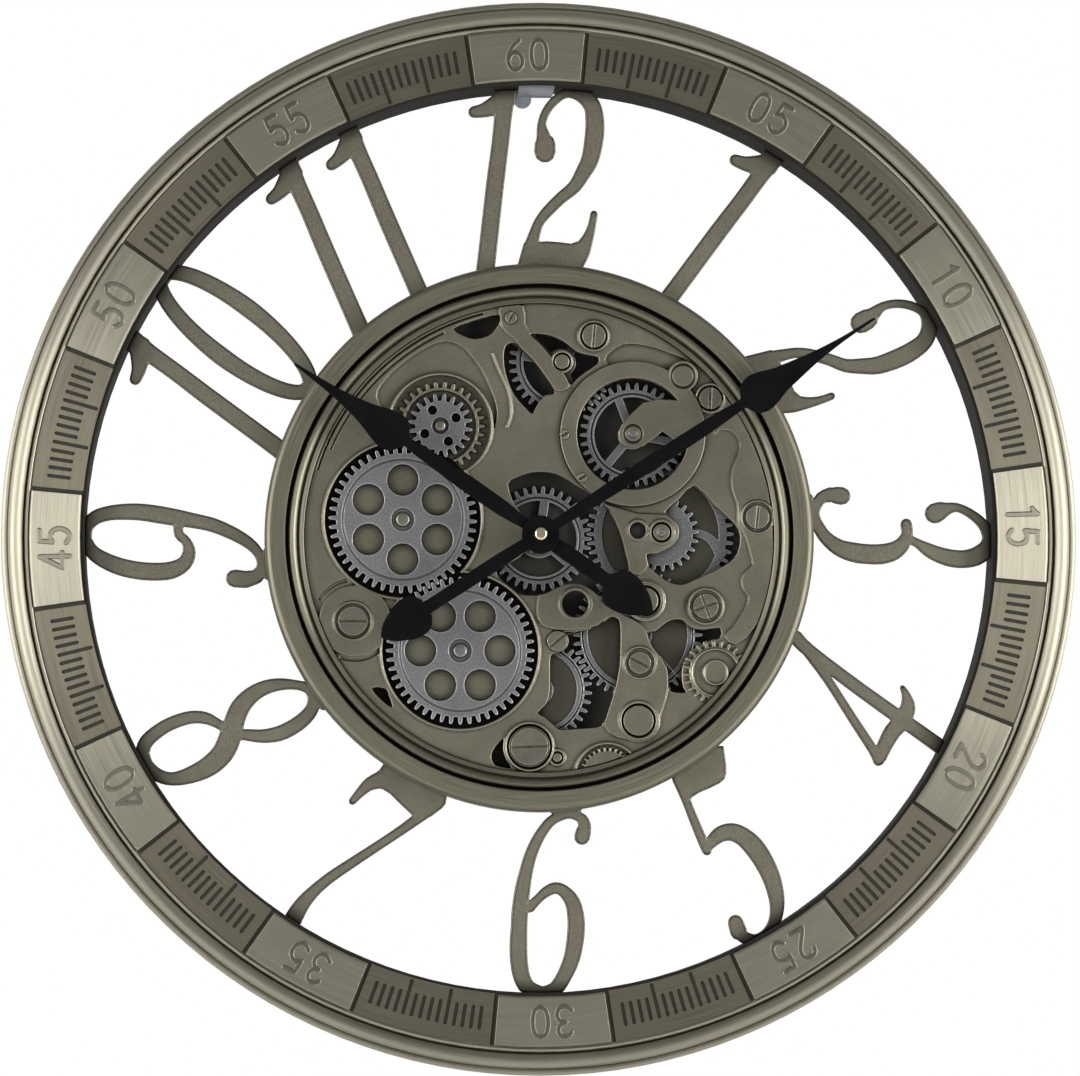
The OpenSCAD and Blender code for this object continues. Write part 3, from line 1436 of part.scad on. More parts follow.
// MOVEMENT
module movement_case() {
    w = case_w / 2;
    z0 = case_back;
    deep = main_back - case_wall - z0;
    color(BLACK) stand()
        difference() {
            union() {
                difference() {
                    translate([0, 0, z0])
                        linear_extrude(main_back - z0)
                            case_outline(0);
                    translate([case_wall - w, case_wall - w, z0 - 1])
                        cube([case_w - 2 * case_wall, bay_y - bay_wall + w - case_wall, deep + 1]);
                    translate([case_wall - bay_w / 2, bay_y, z0 - 1])
                        cube([bay_w - 2 * case_wall, bay_top - case_wall - bay_y, deep + 1]);
                }
                translate([0, 0, main_back - case_wall])
                    cylinder(d = bush_d, h = dial_back + 1 - main_back + case_wall);
                at(at_motion, z0 + 0.2) cylinder(d = 2, h = deep);
            }
            translate([0, 0, main_back - 5])
                cylinder(d = hour_tube_d + 2 * run_fit, h = 30);
        }
}

module movement_back() {
    w = case_w / 2;
    color(DARK) stand()
        translate([0, 0, case_back - 1.2])
            linear_extrude(1.2)
                difference() {
                    polygon([[-w, -w], [w, -w], [w, bay_y], [-w, bay_y]]);
                    circle(d = minute_arbor_d + 2 * run_fit);
                    at(at_set) circle(d = 3 + 2 * run_fit);
                }
}

// Sealed stepping motor and train of the movement: gap to the case, clear space round the motion wheel
// and room below the cell bay
unit_gap = 0.5;
unit_in = 11.5;
unit_room = 2.3;
module drive_unit() {
    side = case_w / 2 - case_wall - unit_gap;
    color(DARK) stand()
        translate([-side, -side, 8])
            cube([side - unit_in, bay_y - bay_wall - unit_room + side, main_back - case_wall - 8]);
}

// Nut with a sleeve: it clamps the movement to the main plate, and the centre wheel runs on the sleeve
sleeve_d = 13;
module centre_nut() {
    color(BRASS) stand()
        difference() {
            union() {
                translate([0, 0, main_front])
                    cylinder(d = sleeve_d, h = wheel2_z - main_front);
                translate([0, 0, wheel2_z])
                    linear_extrude(deep_wheel_t)
                        polygon([for (k = [0 : 5]) polar(9.2, 60 * k)]);
            }
            translate([0, 0, main_front - 1])
                cylinder(d = bush_d + 0.1, h = 20);
        }
}

module minute_arbor() {
    color(STEEL) stand() {
        translate([0, 0, case_back - 1.2])
            cylinder(d = minute_arbor_d, h = minute_hand_z + hand_t + 3 - case_back + 1.2);
        translate([0, 0, motion_z - 0.2])
            linear_extrude(2.4)
                polygon(gear(12, motion_module, 0));
    }
}

module hour_tube() {
    color(STEEL) stand()
        difference() {
            union() {
                translate([0, 0, hour_wheel_z])
                    linear_extrude(2)
                        polygon(gear(48, hour_module, hour_turn));
                translate([0, 0, hour_wheel_z])
                    cylinder(d = hour_tube_d, h = hour_hand_z + hand_t + 0.4 - hour_wheel_z);
            }
            translate([0, 0, hour_wheel_z - 1])
                cylinder(d = minute_arbor_d + 2 * run_fit, h = 60);
        }
}

module motion_wheel() {
    color(BRASS) stand()
        at(at_motion)
            difference() {
                union() {
                    translate([0, 0, motion_z])
                        linear_extrude(2)
                            polygon(gear(36, motion_module, motion_turn));
                    translate([0, 0, motion_z + 2])
                        linear_extrude(hour_wheel_z + 2.4 - motion_z - 2)
                            polygon(gear(12, hour_module, 0));
                }
                cylinder(d = 2 + 2 * run_fit, h = 30);
            }
}

module set_knob() {
    color(DARK) stand()
        at(at_set) {
            translate([0, 0, case_back - 2.9])
                cylinder(d = 11, h = 1.4);
            translate([0, 0, case_back - 2.9])
                cylinder(d = 3, h = motion_z + 2.5 - case_back + 2.9);
            translate([0, 0, motion_z])
                linear_extrude(2)
                    polygon(gear(18, motion_module, set_turn));
        }
}

// HANDS: [distance along the hand, half width]
MINUTE_BLADE = [
    [-105.5, 0.4], [-103, 3.5], [-100, 6.2], [-95, 8.8], [-90, 11], [-85, 11.8], [-80, 11], [-77, 8.2],
    [-75, 5], [-73.5, 3.7], [-50, 3.9], [-25, 3.9], [-12, 3.4], [0, 3], [12, 3], [25, 3.4], [50, 4],
    [80, 4.15], [105, 4.05], [120, 3.5], [130, 2.9], [133.5, 2.8], [135, 3.8], [137, 7.5], [140, 10],
    [145, 11.2], [150, 10.4], [155, 8.7], [160, 7.1], [165, 6.2], [170, 5.25], [175, 4.4], [180, 3.5],
    [190, 2.3], [200, 1.4], [210, 1], [222, 0.7]
];
HOUR_BLADE = [
    [-76, 0.4], [-73, 3.5], [-70, 6.2], [-65, 9], [-60, 11], [-55, 11.6], [-50, 11.2], [-48, 9.5], [-46, 6],
    [-44, 4], [-40, 4.1], [-25, 4.4], [-12, 4.2], [0, 3.4], [11, 3], [15, 3.3], [25, 4.4], [50, 4.7],
    [60, 4.3], [75, 3.9], [85, 3.3], [90, 2.8], [92, 5], [94, 8], [97, 10.4], [102, 11.05], [105, 10.5],
    [110, 9.1], [115, 7.4], [120, 6], [125, 4.9], [130, 4.1], [135, 3.25], [140, 2.6], [150, 1.8],
    [160, 1.1], [166.5, 0.7]
];

module blade(p, bore) {
    c = curve(p, 2);
    n = len(c) - 1;
    difference() {
        union() {
            polygon(concat([for (q = c) [q[1], q[0]]], [for (i = [n : -1 : 0]) [-c[i][1], c[i][0]]]));
            circle(d = hub_d);
        }
        circle(d = bore);
    }
}

module hour_hand() {
    color(BLACK) stand()
        translate([0, 0, hour_hand_z])
            rotate(-hour_angle)
                linear_extrude(hand_t)
                    blade(HOUR_BLADE, hour_tube_d + 0.04);
}

module minute_hand() {
    color(BLACK) stand()
        translate([0, 0, minute_hand_z])
            rotate(-minute_angle)
                linear_extrude(hand_t)
                    blade(MINUTE_BLADE, minute_arbor_d + 0.04);
}

module hand_nut() {
    r = nut_d / 2;
    z0 = minute_hand_z + hand_t;
    color(BRASS) stand()
        difference() {
            rotate_extrude()
                polygon(concat(
                    [[0, z0], [r, z0]], arc([r - 1.4, z0 + nut_t - 1.4], 1.4, 0, 90, 5), [[0, z0 + nut_t]]
                ));
            translate([0, 0, z0 - 1])
                cylinder(d = minute_arbor_d + 0.04, h = 4.2);
        }
}

outer_rim();
chapter_ring();
tick_strips();
minute_plates();
hanger();
hanger_strip();
numeral(1);  // numeral_01
numeral(2);  // numeral_02
numeral(3);  // numeral_03
numeral(4);  // numeral_04
numeral(5);  // numeral_05
numeral(6);  // numeral_06
numeral(7);  // numeral_07
numeral(8);  // numeral_08
numeral(9);  // numeral_09
numeral(10);  // numeral_10
numeral(11);  // numeral_11
numeral(12);  // numeral_12
drum();
bezel();
dial_rim();
rear_cover();
cover_screws();
main_plate();
pillars();
dial_plate();
ring_bridge();
dial_screws();
wheel_studs();
left_wheel();
lower_wheel();
small_wheel();
centre_wheel();
top_wheel();
ring_wheel();
right_wheel();
bottom_wheel();
corner_wheel();
lower_arbor();
ring_arbor();
right_arbor();
bottom_arbor();
corner_arbor();
gear_motor();
motor_pinion();
battery_box();
box_cover();
switch_slide();
aa_cells();
movement_case();
movement_back();
drive_unit();
centre_nut();
minute_arbor();
hour_tube();
motion_wheel();
set_knob();
hour_hand();
minute_hand();
hand_nut();
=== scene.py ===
"""Looks of the skeleton wall clock, laid out as a Blender add-on.

The CAD frame gives the shapes and their places. This script softens their edges, gives every piece
its finish, and sets up the studio and the camera.
"""

import json
import math

import bpy
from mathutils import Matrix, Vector
from mathutils.bvhtree import BVHTree


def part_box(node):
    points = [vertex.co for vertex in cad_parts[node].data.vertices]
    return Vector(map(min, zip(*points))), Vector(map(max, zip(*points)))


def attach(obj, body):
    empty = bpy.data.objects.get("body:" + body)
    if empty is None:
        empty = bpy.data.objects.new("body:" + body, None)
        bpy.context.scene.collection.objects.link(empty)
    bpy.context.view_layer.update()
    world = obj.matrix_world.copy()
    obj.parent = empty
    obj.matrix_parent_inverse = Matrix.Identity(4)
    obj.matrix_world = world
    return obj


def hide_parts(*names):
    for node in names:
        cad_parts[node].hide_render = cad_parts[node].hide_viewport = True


bl_info = {
    "name": "Skeleton wall clock",
    "version": (1, 0, 0),
    "blender": (4, 5, 0),
    "location": "View3D > Sidebar > Clock",
    "description": "Gives the clock's CAD frame its finishes, soft edges and studio",
    "category": "Object",
}

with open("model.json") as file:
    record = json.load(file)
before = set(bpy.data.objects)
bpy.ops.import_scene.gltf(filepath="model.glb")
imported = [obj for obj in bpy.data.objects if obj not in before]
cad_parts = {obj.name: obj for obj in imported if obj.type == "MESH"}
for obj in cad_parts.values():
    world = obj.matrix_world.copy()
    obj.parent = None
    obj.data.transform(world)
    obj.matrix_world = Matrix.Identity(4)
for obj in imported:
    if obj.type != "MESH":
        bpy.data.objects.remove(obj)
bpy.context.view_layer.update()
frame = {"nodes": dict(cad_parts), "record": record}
NODES = frame["nodes"]

MM = 0.001
RIM_LOW, RIM_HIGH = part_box("outer_rim")
AXIS_X = (RIM_LOW.x + RIM_HIGH.x) / 2
AXIS_Z = (RIM_LOW.z + RIM_HIGH.z) / 2
BODY_OF = {n: b for b, members in frame["record"]["behaviour"]["bodies"].items() for n in members}
FIGURES = [f"numeral_{hour:02d}" for hour in range(1, 13)]
RING_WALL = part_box("numeral_12")[1].z - AXIS_Z  # radius at which the figures meet the ring

# Rounding: points this close are one point, flat faces differ by less than FLAT, edges turn by more than EDGE
MERGE = 6e-5
FLAT = math.radians(0.5)
EDGE = math.radians(34.0)
SMOOTH = math.radians(50.0)
STRAY = 0.8

# Brushed sheet: noise cells round a turn and lines across a metre
BRUSH_TURNS = 5.0
BRUSH_LINES = 1500.0
CORNER_RAYS = 8

# Colours of single pieces
# RING_SHADE is painted shade on the chapter ring's inner wall
RING_SHADE = (0.02, 0.018, 0.015)
RING_FLOOR = (0.048, 0.044, 0.036)
MOVING_GREY = (0.10, 0.10, 0.105)
COVER_BLACK = (0.022, 0.022, 0.023)
MOTOR_CAN = (0.5, 0.5, 0.49)
CELL_WRAP = (0.02, 0.09, 0.05)

# Studio, in metres; lamps are placed from the clock's middle
MIDDLE = Vector((AXIS_X, -0.05, AXIS_Z))
LEFT_LAMP = Vector((-2.2, -1.55, 0.14))
RIGHT_LAMP = Vector((2.2, -1.55, 0.1))
LAMP_SIZE = (1.1, 1.5)
FLOOR_SIZE = 9.0
FLOOR_HEIGHT = -1.2
SENSOR = 36.0
SHIFT = -0.002


# SIZES AND COLOURS


def colour(name, description, rgb):
    return bpy.props.FloatVectorProperty(
        name=name, description=description, subtype="COLOR", size=3, min=0.0, max=1.0, default=rgb
    )


def length(name, description, value):
    return bpy.props.FloatProperty(
        name=name, description=description, subtype="DISTANCE", unit="LENGTH", min=0.0, default=value
    )


class ClockFinishes(bpy.types.PropertyGroup):
    pewter: colour("Pewter", "Brushed antique pewter of ring and minute plates", (0.385, 0.362, 0.285))
    figure: colour("Figure pewter", "Flat antique pewter of hour figures and drum", (0.265, 0.25, 0.19))
    bezel: colour("Bezel pewter", "Brushed pewter of bezel and dial rim", (0.19, 0.18, 0.132))
    strip: colour("Strip pewter", "Darker pewter of the tick strips", (0.2, 0.183, 0.136))
    cast: colour("Dial casting", "Antique finish of dial plate and ring bridge", (0.235, 0.221, 0.167))
    gear: colour("Gear grey", "Cool grey of the two front wheels", (0.31, 0.312, 0.31))
    # A darker copy of the gear grey: painted shade on the wheels that sit deeper
    deep_gear_shaded: colour("Deep gear grey", "Darker grey of the other wheels and their arbors", (0.27, 0.275, 0.275))
    screw: colour("Screw steel", "Satin steel of screws, studs and pillars", (0.28, 0.268, 0.215))
    zinc: colour("Hanger zinc", "Bluish zinc of the hanger, duller on its strip", (0.58, 0.61, 0.67))
    hand: colour("Hand black", "Satin black paint of the hands", (0.0022, 0.0022, 0.0024))
    brass: colour("Brass", "Pale brass of nuts and motor pinion", (0.86, 0.76, 0.50))
    main: colour("Main plate grey", "Dark grey of the plate behind the wheels", (0.026, 0.025, 0.021))
    plastic: colour("Black plastic", "Movement, boxes and covers", (0.018, 0.018, 0.019))
    # Colour of the painted shade and dark wax in corners and on the pocket floors
    wax_and_shade: colour("Grime", "Dark wax left in the corners", (0.012, 0.011, 0.009))


class ClockEdges(bpy.types.PropertyGroup):
    figure: length("Figure edge", "Rounding along the hour figures", 0.8 * MM)
    plate: length("Plate edge", "Rounding along the minute plates", 0.3 * MM)
    dial: length("Dial edge", "Rounding of the dial moulding", 0.55 * MM)
    wheel: length("Wheel edge", "Rounding of wheel teeth and holes", 0.25 * MM)
    hand: length("Hand edge", "Rounding along the hands", 0.25 * MM)


class ClockStage(bpy.types.PropertyGroup):
    distance: length("Camera distance", "From the clock's middle to the camera", 4.0)
    below: bpy.props.FloatProperty(
        name="Camera below", description="Angle of the camera below the clock's axis", subtype="ANGLE",
        default=math.radians(3.73),
    )
    beside: bpy.props.FloatProperty(
        name="Camera beside", description="Angle of the camera to the left of the axis", subtype="ANGLE",
        default=math.radians(1.72),
    )
    lens: bpy.props.FloatProperty(
        name="Lens", description="Focal length on a 36 mm sensor", min=20.0, default=239.4
    )
    left_power: bpy.props.FloatProperty(
        name="Left lamp", description="Power of the left softbox in watts", min=0.0, default=58.0
    )
    right_power: bpy.props.FloatProperty(
        name="Right lamp", description="Power of the right softbox in watts", min=0.0, default=70.0
    )
    room: bpy.props.FloatProperty(
        name="Room light", description="Brightness of the room on the camera's side", min=0.0, default=0.25
    )


# HOW A FINISH IS MADE


class Finish:
    """A material with its shader, and short ways to add nodes to it."""

    def __init__(self, name, base, metallic, roughness, **sockets):
        self.material = bpy.data.materials.new(name)
        self.material.use_nodes = True
        self.tree = self.material.node_tree
        self.tree.nodes.clear()
        self.shader = self.add("ShaderNodeBsdfPrincipled")
        out = self.add("ShaderNodeOutputMaterial")
        self.tree.links.new(self.shader.outputs["BSDF"], out.inputs["Surface"])
        self.shader.inputs["Base Color"].default_value = (*base, 1.0)
        self.shader.inputs["Metallic"].default_value = metallic
        self.shader.inputs["Roughness"].default_value = roughness
        for socket, value in sockets.items():
            self.shader.inputs[socket.replace("_", " ")].default_value = value
        self.place = self.add("ShaderNodeTexCoord").outputs["Object"]

    def add(self, kind, **settings):
        node = self.tree.nodes.new(kind)
        for key, value in settings.items():
            setattr(node, key, value)
        return node

    def link(self, value, socket):
        if isinstance(value, bpy.types.NodeSocket):
            self.tree.links.new(value, socket)
        else:
            socket.default_value = value

    def math(self, operation, a, b=0.0):
        node = self.add("ShaderNodeMath", operation=operation)
        self.link(a, node.inputs[0])
        self.link(b, node.inputs[1])
        return node.outputs[0]

    def vector(self, operation, a, b=(0.0, 0.0, 0.0)):
        node = self.add("ShaderNodeVectorMath", operation=operation)
        self.link(a, node.inputs[0])
        self.link(b, node.inputs[1])
        return node.outputs["Value" if operation in ("LENGTH", "DOT_PRODUCT") else "Vector"]

    def stretch(self, value, low, high, to_low, to_high):
        node = self.add("ShaderNodeMapRange")
        self.link(value, node.inputs["Value"])
        for socket, number in zip(("From Min", "From Max", "To Min", "To Max"), (low, high, to_low, to_high)):
            node.inputs[socket].default_value = number
        return node.outputs["Result"]

    def noise(self, vector, scale, detail=3.0, rough=0.55):
        node = self.add("ShaderNodeTexNoise")
        self.link(vector, node.inputs["Vector"])
        node.inputs["Scale"].default_value = scale
        node.inputs["Detail"].default_value = detail
        node.inputs["Roughness"].default_value = rough
        return node.outputs["Fac"]

    def mix(self, share, a, b):
        node = self.add("ShaderNodeMix", data_type="RGBA")
        self.link(share, node.inputs["Factor"])
        self.link(a, node.inputs["A"])
        self.link(b, node.inputs["B"])
        return node.outputs["Result"]

    def corner(self, reach, inside=False):
        """How closed in a point is: 1 in the open, 0 deep in a corner."""
        node = self.add("ShaderNodeAmbientOcclusion", samples=CORNER_RAYS, inside=inside)
        node.inputs["Distance"].default_value = reach
        return node.outputs["AO"]

    def bump(self, height, strength, depth):
        node = self.add("ShaderNodeBump")
        node.inputs["Strength"].default_value = strength
        node.inputs["Distance"].default_value = depth
        self.link(height, node.inputs["Height"])
        self.link(node.outputs["Normal"], self.shader.inputs["Normal"])

    def around(self, x, z):
        """From an axis along Y at x, z: the outward direction and the distance."""
        flat = self.vector("MULTIPLY", self.vector("SUBTRACT", self.place, (x, 0.0, z)), (1.0, 0.0, 1.0))
        return self.vector("NORMALIZE", flat), self.vector("LENGTH", flat)

    def depth(self):
        """How far back a point lies, along Y."""
        split = self.add("ShaderNodeSeparateXYZ")
        self.link(self.place, split.inputs[0])
        return split.outputs["Y"]

    def rings(self, x, z, turns, lines):
        """Place for a noise that is drawn out along circles round an axis."""
        out, radius = self.around(x, z)
        turn = self.vector("MULTIPLY", out, (turns, turns, turns))
        across = self.add("ShaderNodeCombineXYZ")
        self.link(self.math("MULTIPLY", radius, lines), across.inputs["Y"])
        return self.vector("ADD", turn, across.outputs["Vector"]), out

    def colour(self, value):
        self.link(value, self.shader.inputs["Base Color"])

    def roughness(self, value):
        self.link(value, self.shader.inputs["Roughness"])


def rgba(base, factor=1.0):
    return (*(min(1.0, c * factor) for c in base), 1.0)


def paint_corner_shade(finish, tone, reach, low, high, wax_and_shade):
    """Painted shade and dark wax where the surface is closed in."""
    open_share = finish.stretch(finish.corner(reach), low, high, 0.0, 1.0)
    return finish.mix(open_share, rgba(wax_and_shade), tone)


def brushing(finish, base):
    """Fine lines round the clock's axis: the lines, their tone and the outward direction."""
    place, out = finish.rings(AXIS_X, AXIS_Z, BRUSH_TURNS, BRUSH_LINES)
    streak = finish.noise(place, 1.0, 4.0, 0.6)
    tone = finish.mix(finish.stretch(streak, 0.3, 0.7, 0.0, 1.0), rgba(base, 0.82), rgba(base, 1.12))
    return streak, tone, out


def brushed_round(name, base, wax_and_shade, roughness=0.45, anisotropic=0.8, raised=None):
    """Sheet brushed round the clock's axis, darker on what is raised in front of a depth."""
    finish = Finish(name, base, 1.0, roughness, Anisotropic=anisotropic)
    streak, tone, out = brushing(finish, base)
    finish.link(out, finish.shader.inputs["Tangent"])
    cloud = finish.noise(finish.place, 22.0, 3.0)
    tone = finish.mix(finish.stretch(cloud, 0.35, 0.7, 0.0, 0.35), tone, rgba(base, 0.84))
    if raised is not None:
        front = finish.stretch(finish.depth(), raised, raised + 0.1 * MM, 0.75, 0.0)
        tone = finish.mix(front, tone, rgba(base, 0.42))
        # Painted shade: thin dark lines at the foot of the raised figures on the plates
        tone = paint_corner_shade(finish, tone, MM, 0.45, 0.9, tuple(0.25 * c for c in base))
    # Painted shade and dark wax in the sheet's corners
    finish.colour(paint_corner_shade(finish, tone, 5.0 * MM, 0.25, 0.75, wax_and_shade))
    finish.roughness(finish.stretch(streak, 0.3, 0.7, roughness - 0.06, roughness + 0.08))
    finish.bump(streak, 0.12, 0.1 * MM)
    return finish.material


def rolled_sheet(name, base, shade, floor, wall, edge):
    """Sheet ring: painted shade up to its wall's radius, dull on the floor outside it, brushed on the rolled
    edge.
    """
    finish = Finish(name, base, 1.0, 0.5, Specular_IOR_Level=0.04)
    streak, bright, _ = brushing(finish, base)
    radius = finish.around(AXIS_X, AXIS_Z)[1]
    share = finish.stretch(radius, edge, edge + 0.4 * MM, 0.0, 1.0)
    dull = finish.mix(finish.stretch(radius, wall, wall + MM, 0.0, 1.0), rgba(shade), rgba(floor))
    grain = finish.stretch(finish.noise(finish.place, 900.0), 0.3, 0.7, 0.0, 0.4)
    dull = finish.mix(grain, dull, rgba(shade, 0.8))
    finish.colour(finish.mix(share, dull, bright))
    finish.link(share, finish.shader.inputs["Metallic"])
    finish.roughness(finish.stretch(share, 0.0, 1.0, 0.75, 0.48))
    finish.bump(streak, 0.12, 0.1 * MM)
    return finish.material


def satin_plate(name, base, wax_and_shade, roughness=0.42, end=None):
    """Flat steel with an antique finish and a faint grain, with painted shade on its edges and sides and a
    painted shadow of the ring towards a radius.
    """
    finish = Finish(name, base, 1.0, roughness, Specular_IOR_Level=0.04)
    grain = finish.noise(finish.place, 900.0, 4.0, 0.65)
    cloud = finish.noise(finish.place, 30.0, 4.0)
    tone = finish.mix(finish.stretch(cloud, 0.3, 0.7, 0.0, 1.0), rgba(base, 0.88), rgba(base, 1.08))
    tone = finish.mix(finish.stretch(grain, 0.45, 0.75, 0.0, 0.25), tone, rgba(base, 0.6))
    # Painted shadow of the chapter ring across the figures' outer ends
    if end is not None:
        radius = finish.around(AXIS_X, AXIS_Z)[1]
        tone = finish.mix(finish.stretch(radius, end - 7.0 * MM, end - MM, 0.0, 0.85), tone, rgba(base, 0.25))
    # Painted shade along the figures' edges
    edge_shade = finish.stretch(finish.corner(2.3 * MM, inside=True), 0.72, 0.88, 1.0, 0.0)
    tone = finish.mix(edge_shade, tone, rgba(base, 0.2))
    # Painted shade: faces turned away from the front are painted dark and dull
    normal = finish.add("ShaderNodeNewGeometry").outputs["True Normal"]
    facing = finish.vector("DOT_PRODUCT", normal, (0.0, 1.0, 0.0))
    flat = finish.stretch(finish.math("ABSOLUTE", facing), 0.6, 0.985, 0.1, 1.0)
    tone = finish.mix(flat, rgba(base, 0.16), tone)
    finish.link(flat, finish.shader.inputs["Metallic"])
    # Painted shade and dark wax in corners
    finish.colour(paint_corner_shade(finish, tone, 4.0 * MM, 0.2, 0.7, wax_and_shade))
    finish.roughness(finish.stretch(grain, 0.3, 0.7, roughness - 0.05, roughness + 0.1))
    finish.bump(grain, 0.15, 0.08 * MM)
    return finish.material


def worn_cast(
    name, base, wax_and_shade, wear_and_highlight, roughness=0.42, grain_scale=700.0, reach=6.0 * MM, speckle=0.4, shaded_wells=(), sunk_shade=None
):
    """Cast metal with worn edges that are also painted lighter as a highlight, painted shade and dark wax in
    corners, and painted shade on ring-shaped pocket floors and recessed webs.
    """
    finish = Finish(name, base, 1.0, roughness)
    grain = finish.noise(finish.place, grain_scale, 5.0, 0.65)
    cloud = finish.noise(finish.place, 45.0, 4.0)
    tone = finish.mix(finish.stretch(cloud, 0.3, 0.7, 0.0, 1.0), rgba(base, 0.85), rgba(base, 1.1))
    tone = finish.mix(finish.stretch(grain, 0.45, 0.7, 0.0, speckle), tone, rgba(base, 0.35))
    # Painted shade on webs that lie deeper than a given depth
    if sunk_shade is not None:
        start, web_shade = sunk_shade
        below = finish.stretch(finish.depth(), start, start + 0.3 * MM, 0.0, 0.95)
        tone = finish.mix(below, tone, rgba(web_shade))
    # Lighter edges: worn edges, and a painted highlight along them
    rubbed_and_lit = finish.stretch(finish.corner(1.2 * MM, inside=True), 0.55, 0.9, 1.0, 0.0)
    rubbed_and_lit = finish.math("MULTIPLY", rubbed_and_lit, finish.stretch(grain, 0.35, 0.6, 1.0, 0.55))
    tone = finish.mix(rubbed_and_lit, tone, rgba(wear_and_highlight))
    # Painted shade: thin dark lines at the foot of the relief, then painted shade and dark wax in wider corners
    tone = paint_corner_shade(finish, tone, 1.6 * MM, 0.5, 0.92, tuple(0.17 * c for c in base))
    tone = paint_corner_shade(finish, tone, reach, 0.3, 0.85, wax_and_shade)
    # Painted shade on the pocket floors round the wheels
    for x, z, inner, outer, top in shaded_wells:
        radius = finish.around(x, z)[1]
        share = finish.stretch(finish.depth(), top, top + 2.5 * MM, 0.0, 1.0)
        share = finish.math("MULTIPLY", share, finish.stretch(radius, inner, inner + MM, 0.0, 1.0))
        share = finish.math("MULTIPLY", share, finish.stretch(radius, outer, outer + 0.3 * MM, 1.0, 0.0))
        tone = finish.mix(share, tone, rgba(wax_and_shade))
    finish.colour(tone)
    finish.roughness(finish.stretch(grain, 0.3, 0.7, roughness - 0.05, roughness + 0.12))
    finish.bump(grain, 0.2, 0.1 * MM)
    return finish.material


def satin_paint(name, base, roughness=0.38):
    """Sprayed black paint with a very fine orange peel."""
    finish = Finish(name, base, 0.0, roughness, Specular_IOR_Level=0.1)
    peel = finish.noise(finish.place, 1600.0, 2.0)
    dust = finish.noise(finish.place, 60.0, 4.0)
    finish.colour(finish.mix(finish.stretch(dust, 0.35, 0.75, 0.0, 1.0), rgba(base), rgba(base, 1.35)))
    finish.roughness(finish.stretch(dust, 0.3, 0.7, roughness - 0.04, roughness + 0.08))
    finish.bump(peel, 0.08, 0.05 * MM)
    return finish.material


def moulded_plastic(name, base, roughness=0.5, grain_scale=1800.0):
    """Moulded plastic with a fine spark texture."""
    finish = Finish(name, base, 0.0, roughness, Specular_IOR_Level=0.2)
    spark = finish.noise(finish.place, grain_scale, 3.0, 0.6)
    cloud = finish.noise(finish.place, 35.0, 3.0)
    finish.colour(finish.mix(finish.stretch(cloud, 0.3, 0.7, 0.0, 1.0), rgba(base, 0.85), rgba(base, 1.25)))
    finish.roughness(finish.stretch(spark, 0.3, 0.7, roughness - 0.08, roughness + 0.1))
    finish.bump(spark, 0.25, 0.06 * MM)
    return finish.material


def turned_metal(name, base, roughness=0.3, lines=90.0):
    """Bright turned or drawn metal with faint lines along its height."""
    finish = Finish(name, base, 1.0, roughness)
    fine = finish.noise(finish.place, 1400.0, 3.0)
    patch = finish.noise(finish.place, lines, 3.0)
    finish.colour(finish.mix(finish.stretch(patch, 0.3, 0.7, 0.0, 1.0), rgba(base, 0.86), rgba(base, 1.06)))
    finish.roughness(finish.stretch(fine, 0.3, 0.7, roughness - 0.06, roughness + 0.1))
    finish.bump(fine, 0.1, 0.05 * MM)
    return finish.material


# HOW A PIECE IS SHAPED


def only(piece):
    """Leave just this piece selected and active."""
    if bpy.context.object and bpy.context.object.mode != "OBJECT":
        bpy.ops.object.mode_set(mode="OBJECT")
    bpy.ops.object.select_all(action="DESELECT")
    piece.select_set(True)
    bpy.context.view_layer.objects.active = piece


def dress(node, material):
    """Give a CAD node's own mesh a finish."""
    mesh = NODES[node].data
    mesh.materials.clear()
    mesh.materials.append(material)


def draw_back(piece, node, limit):
    """Bring points that the rounding threw far off its node back to the node's surface."""
    surface = BVHTree.FromObject(NODES[node], bpy.context.evaluated_depsgraph_get())
    stray = [v.index for v in piece.data.vertices if surface.find_nearest(v.co)[3] > limit]
    if not stray:
        return
    group = piece.vertex_groups.new(name="stray")
    group.add(stray, 1.0, "REPLACE")
    bpy.ops.object.modifier_add(type="SHRINKWRAP")
    wrap = piece.modifiers[-1]
    wrap.target = NODES[node]
    wrap.vertex_group = group.name
    bpy.ops.object.modifier_apply(modifier=wrap.name)
    piece.vertex_groups.clear()


def soften(node, edge, material, segments=2):
    """Stand a copy of a CAD node with rounded edges in for the node."""
    piece = bpy.data.objects.new(f"{node}_finished", NODES[node].data.copy())
    bpy.context.scene.collection.objects.link(piece)
    only(piece)
    bpy.ops.mesh.customdata_custom_splitnormals_clear()
    bpy.ops.object.mode_set(mode="EDIT")
    bpy.ops.mesh.select_all(action="SELECT")
    bpy.ops.mesh.remove_doubles(threshold=MERGE)
    bpy.ops.mesh.beautify_fill(angle_limit=FLAT)
    bpy.ops.object.mode_set(mode="OBJECT")
    bpy.ops.object.modifier_add(type="BEVEL")
    bevel = piece.modifiers[-1]
    bevel.width = edge
    bevel.segments = segments
    bevel.limit_method = "ANGLE"
    bevel.angle_limit = EDGE
    bevel.use_clamp_overlap = False
    bevel.loop_slide = False
    bpy.ops.object.modifier_apply(modifier=bevel.name)
    draw_back(piece, node, STRAY * edge)
    bpy.ops.object.shade_smooth_by_angle(angle=SMOOTH)
    bpy.ops.object.modifier_add(type="WEIGHTED_NORMAL")
    flat = piece.modifiers[-1]
    flat.mode = "FACE_AREA"
    flat.weight = 100
    flat.keep_sharp = True
    bpy.ops.object.modifier_apply(modifier=flat.name)
    piece.data.materials.clear()
    piece.data.materials.append(material)
    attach(piece, BODY_OF[node])
    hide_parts(node)
    return piece


# THE PIECES


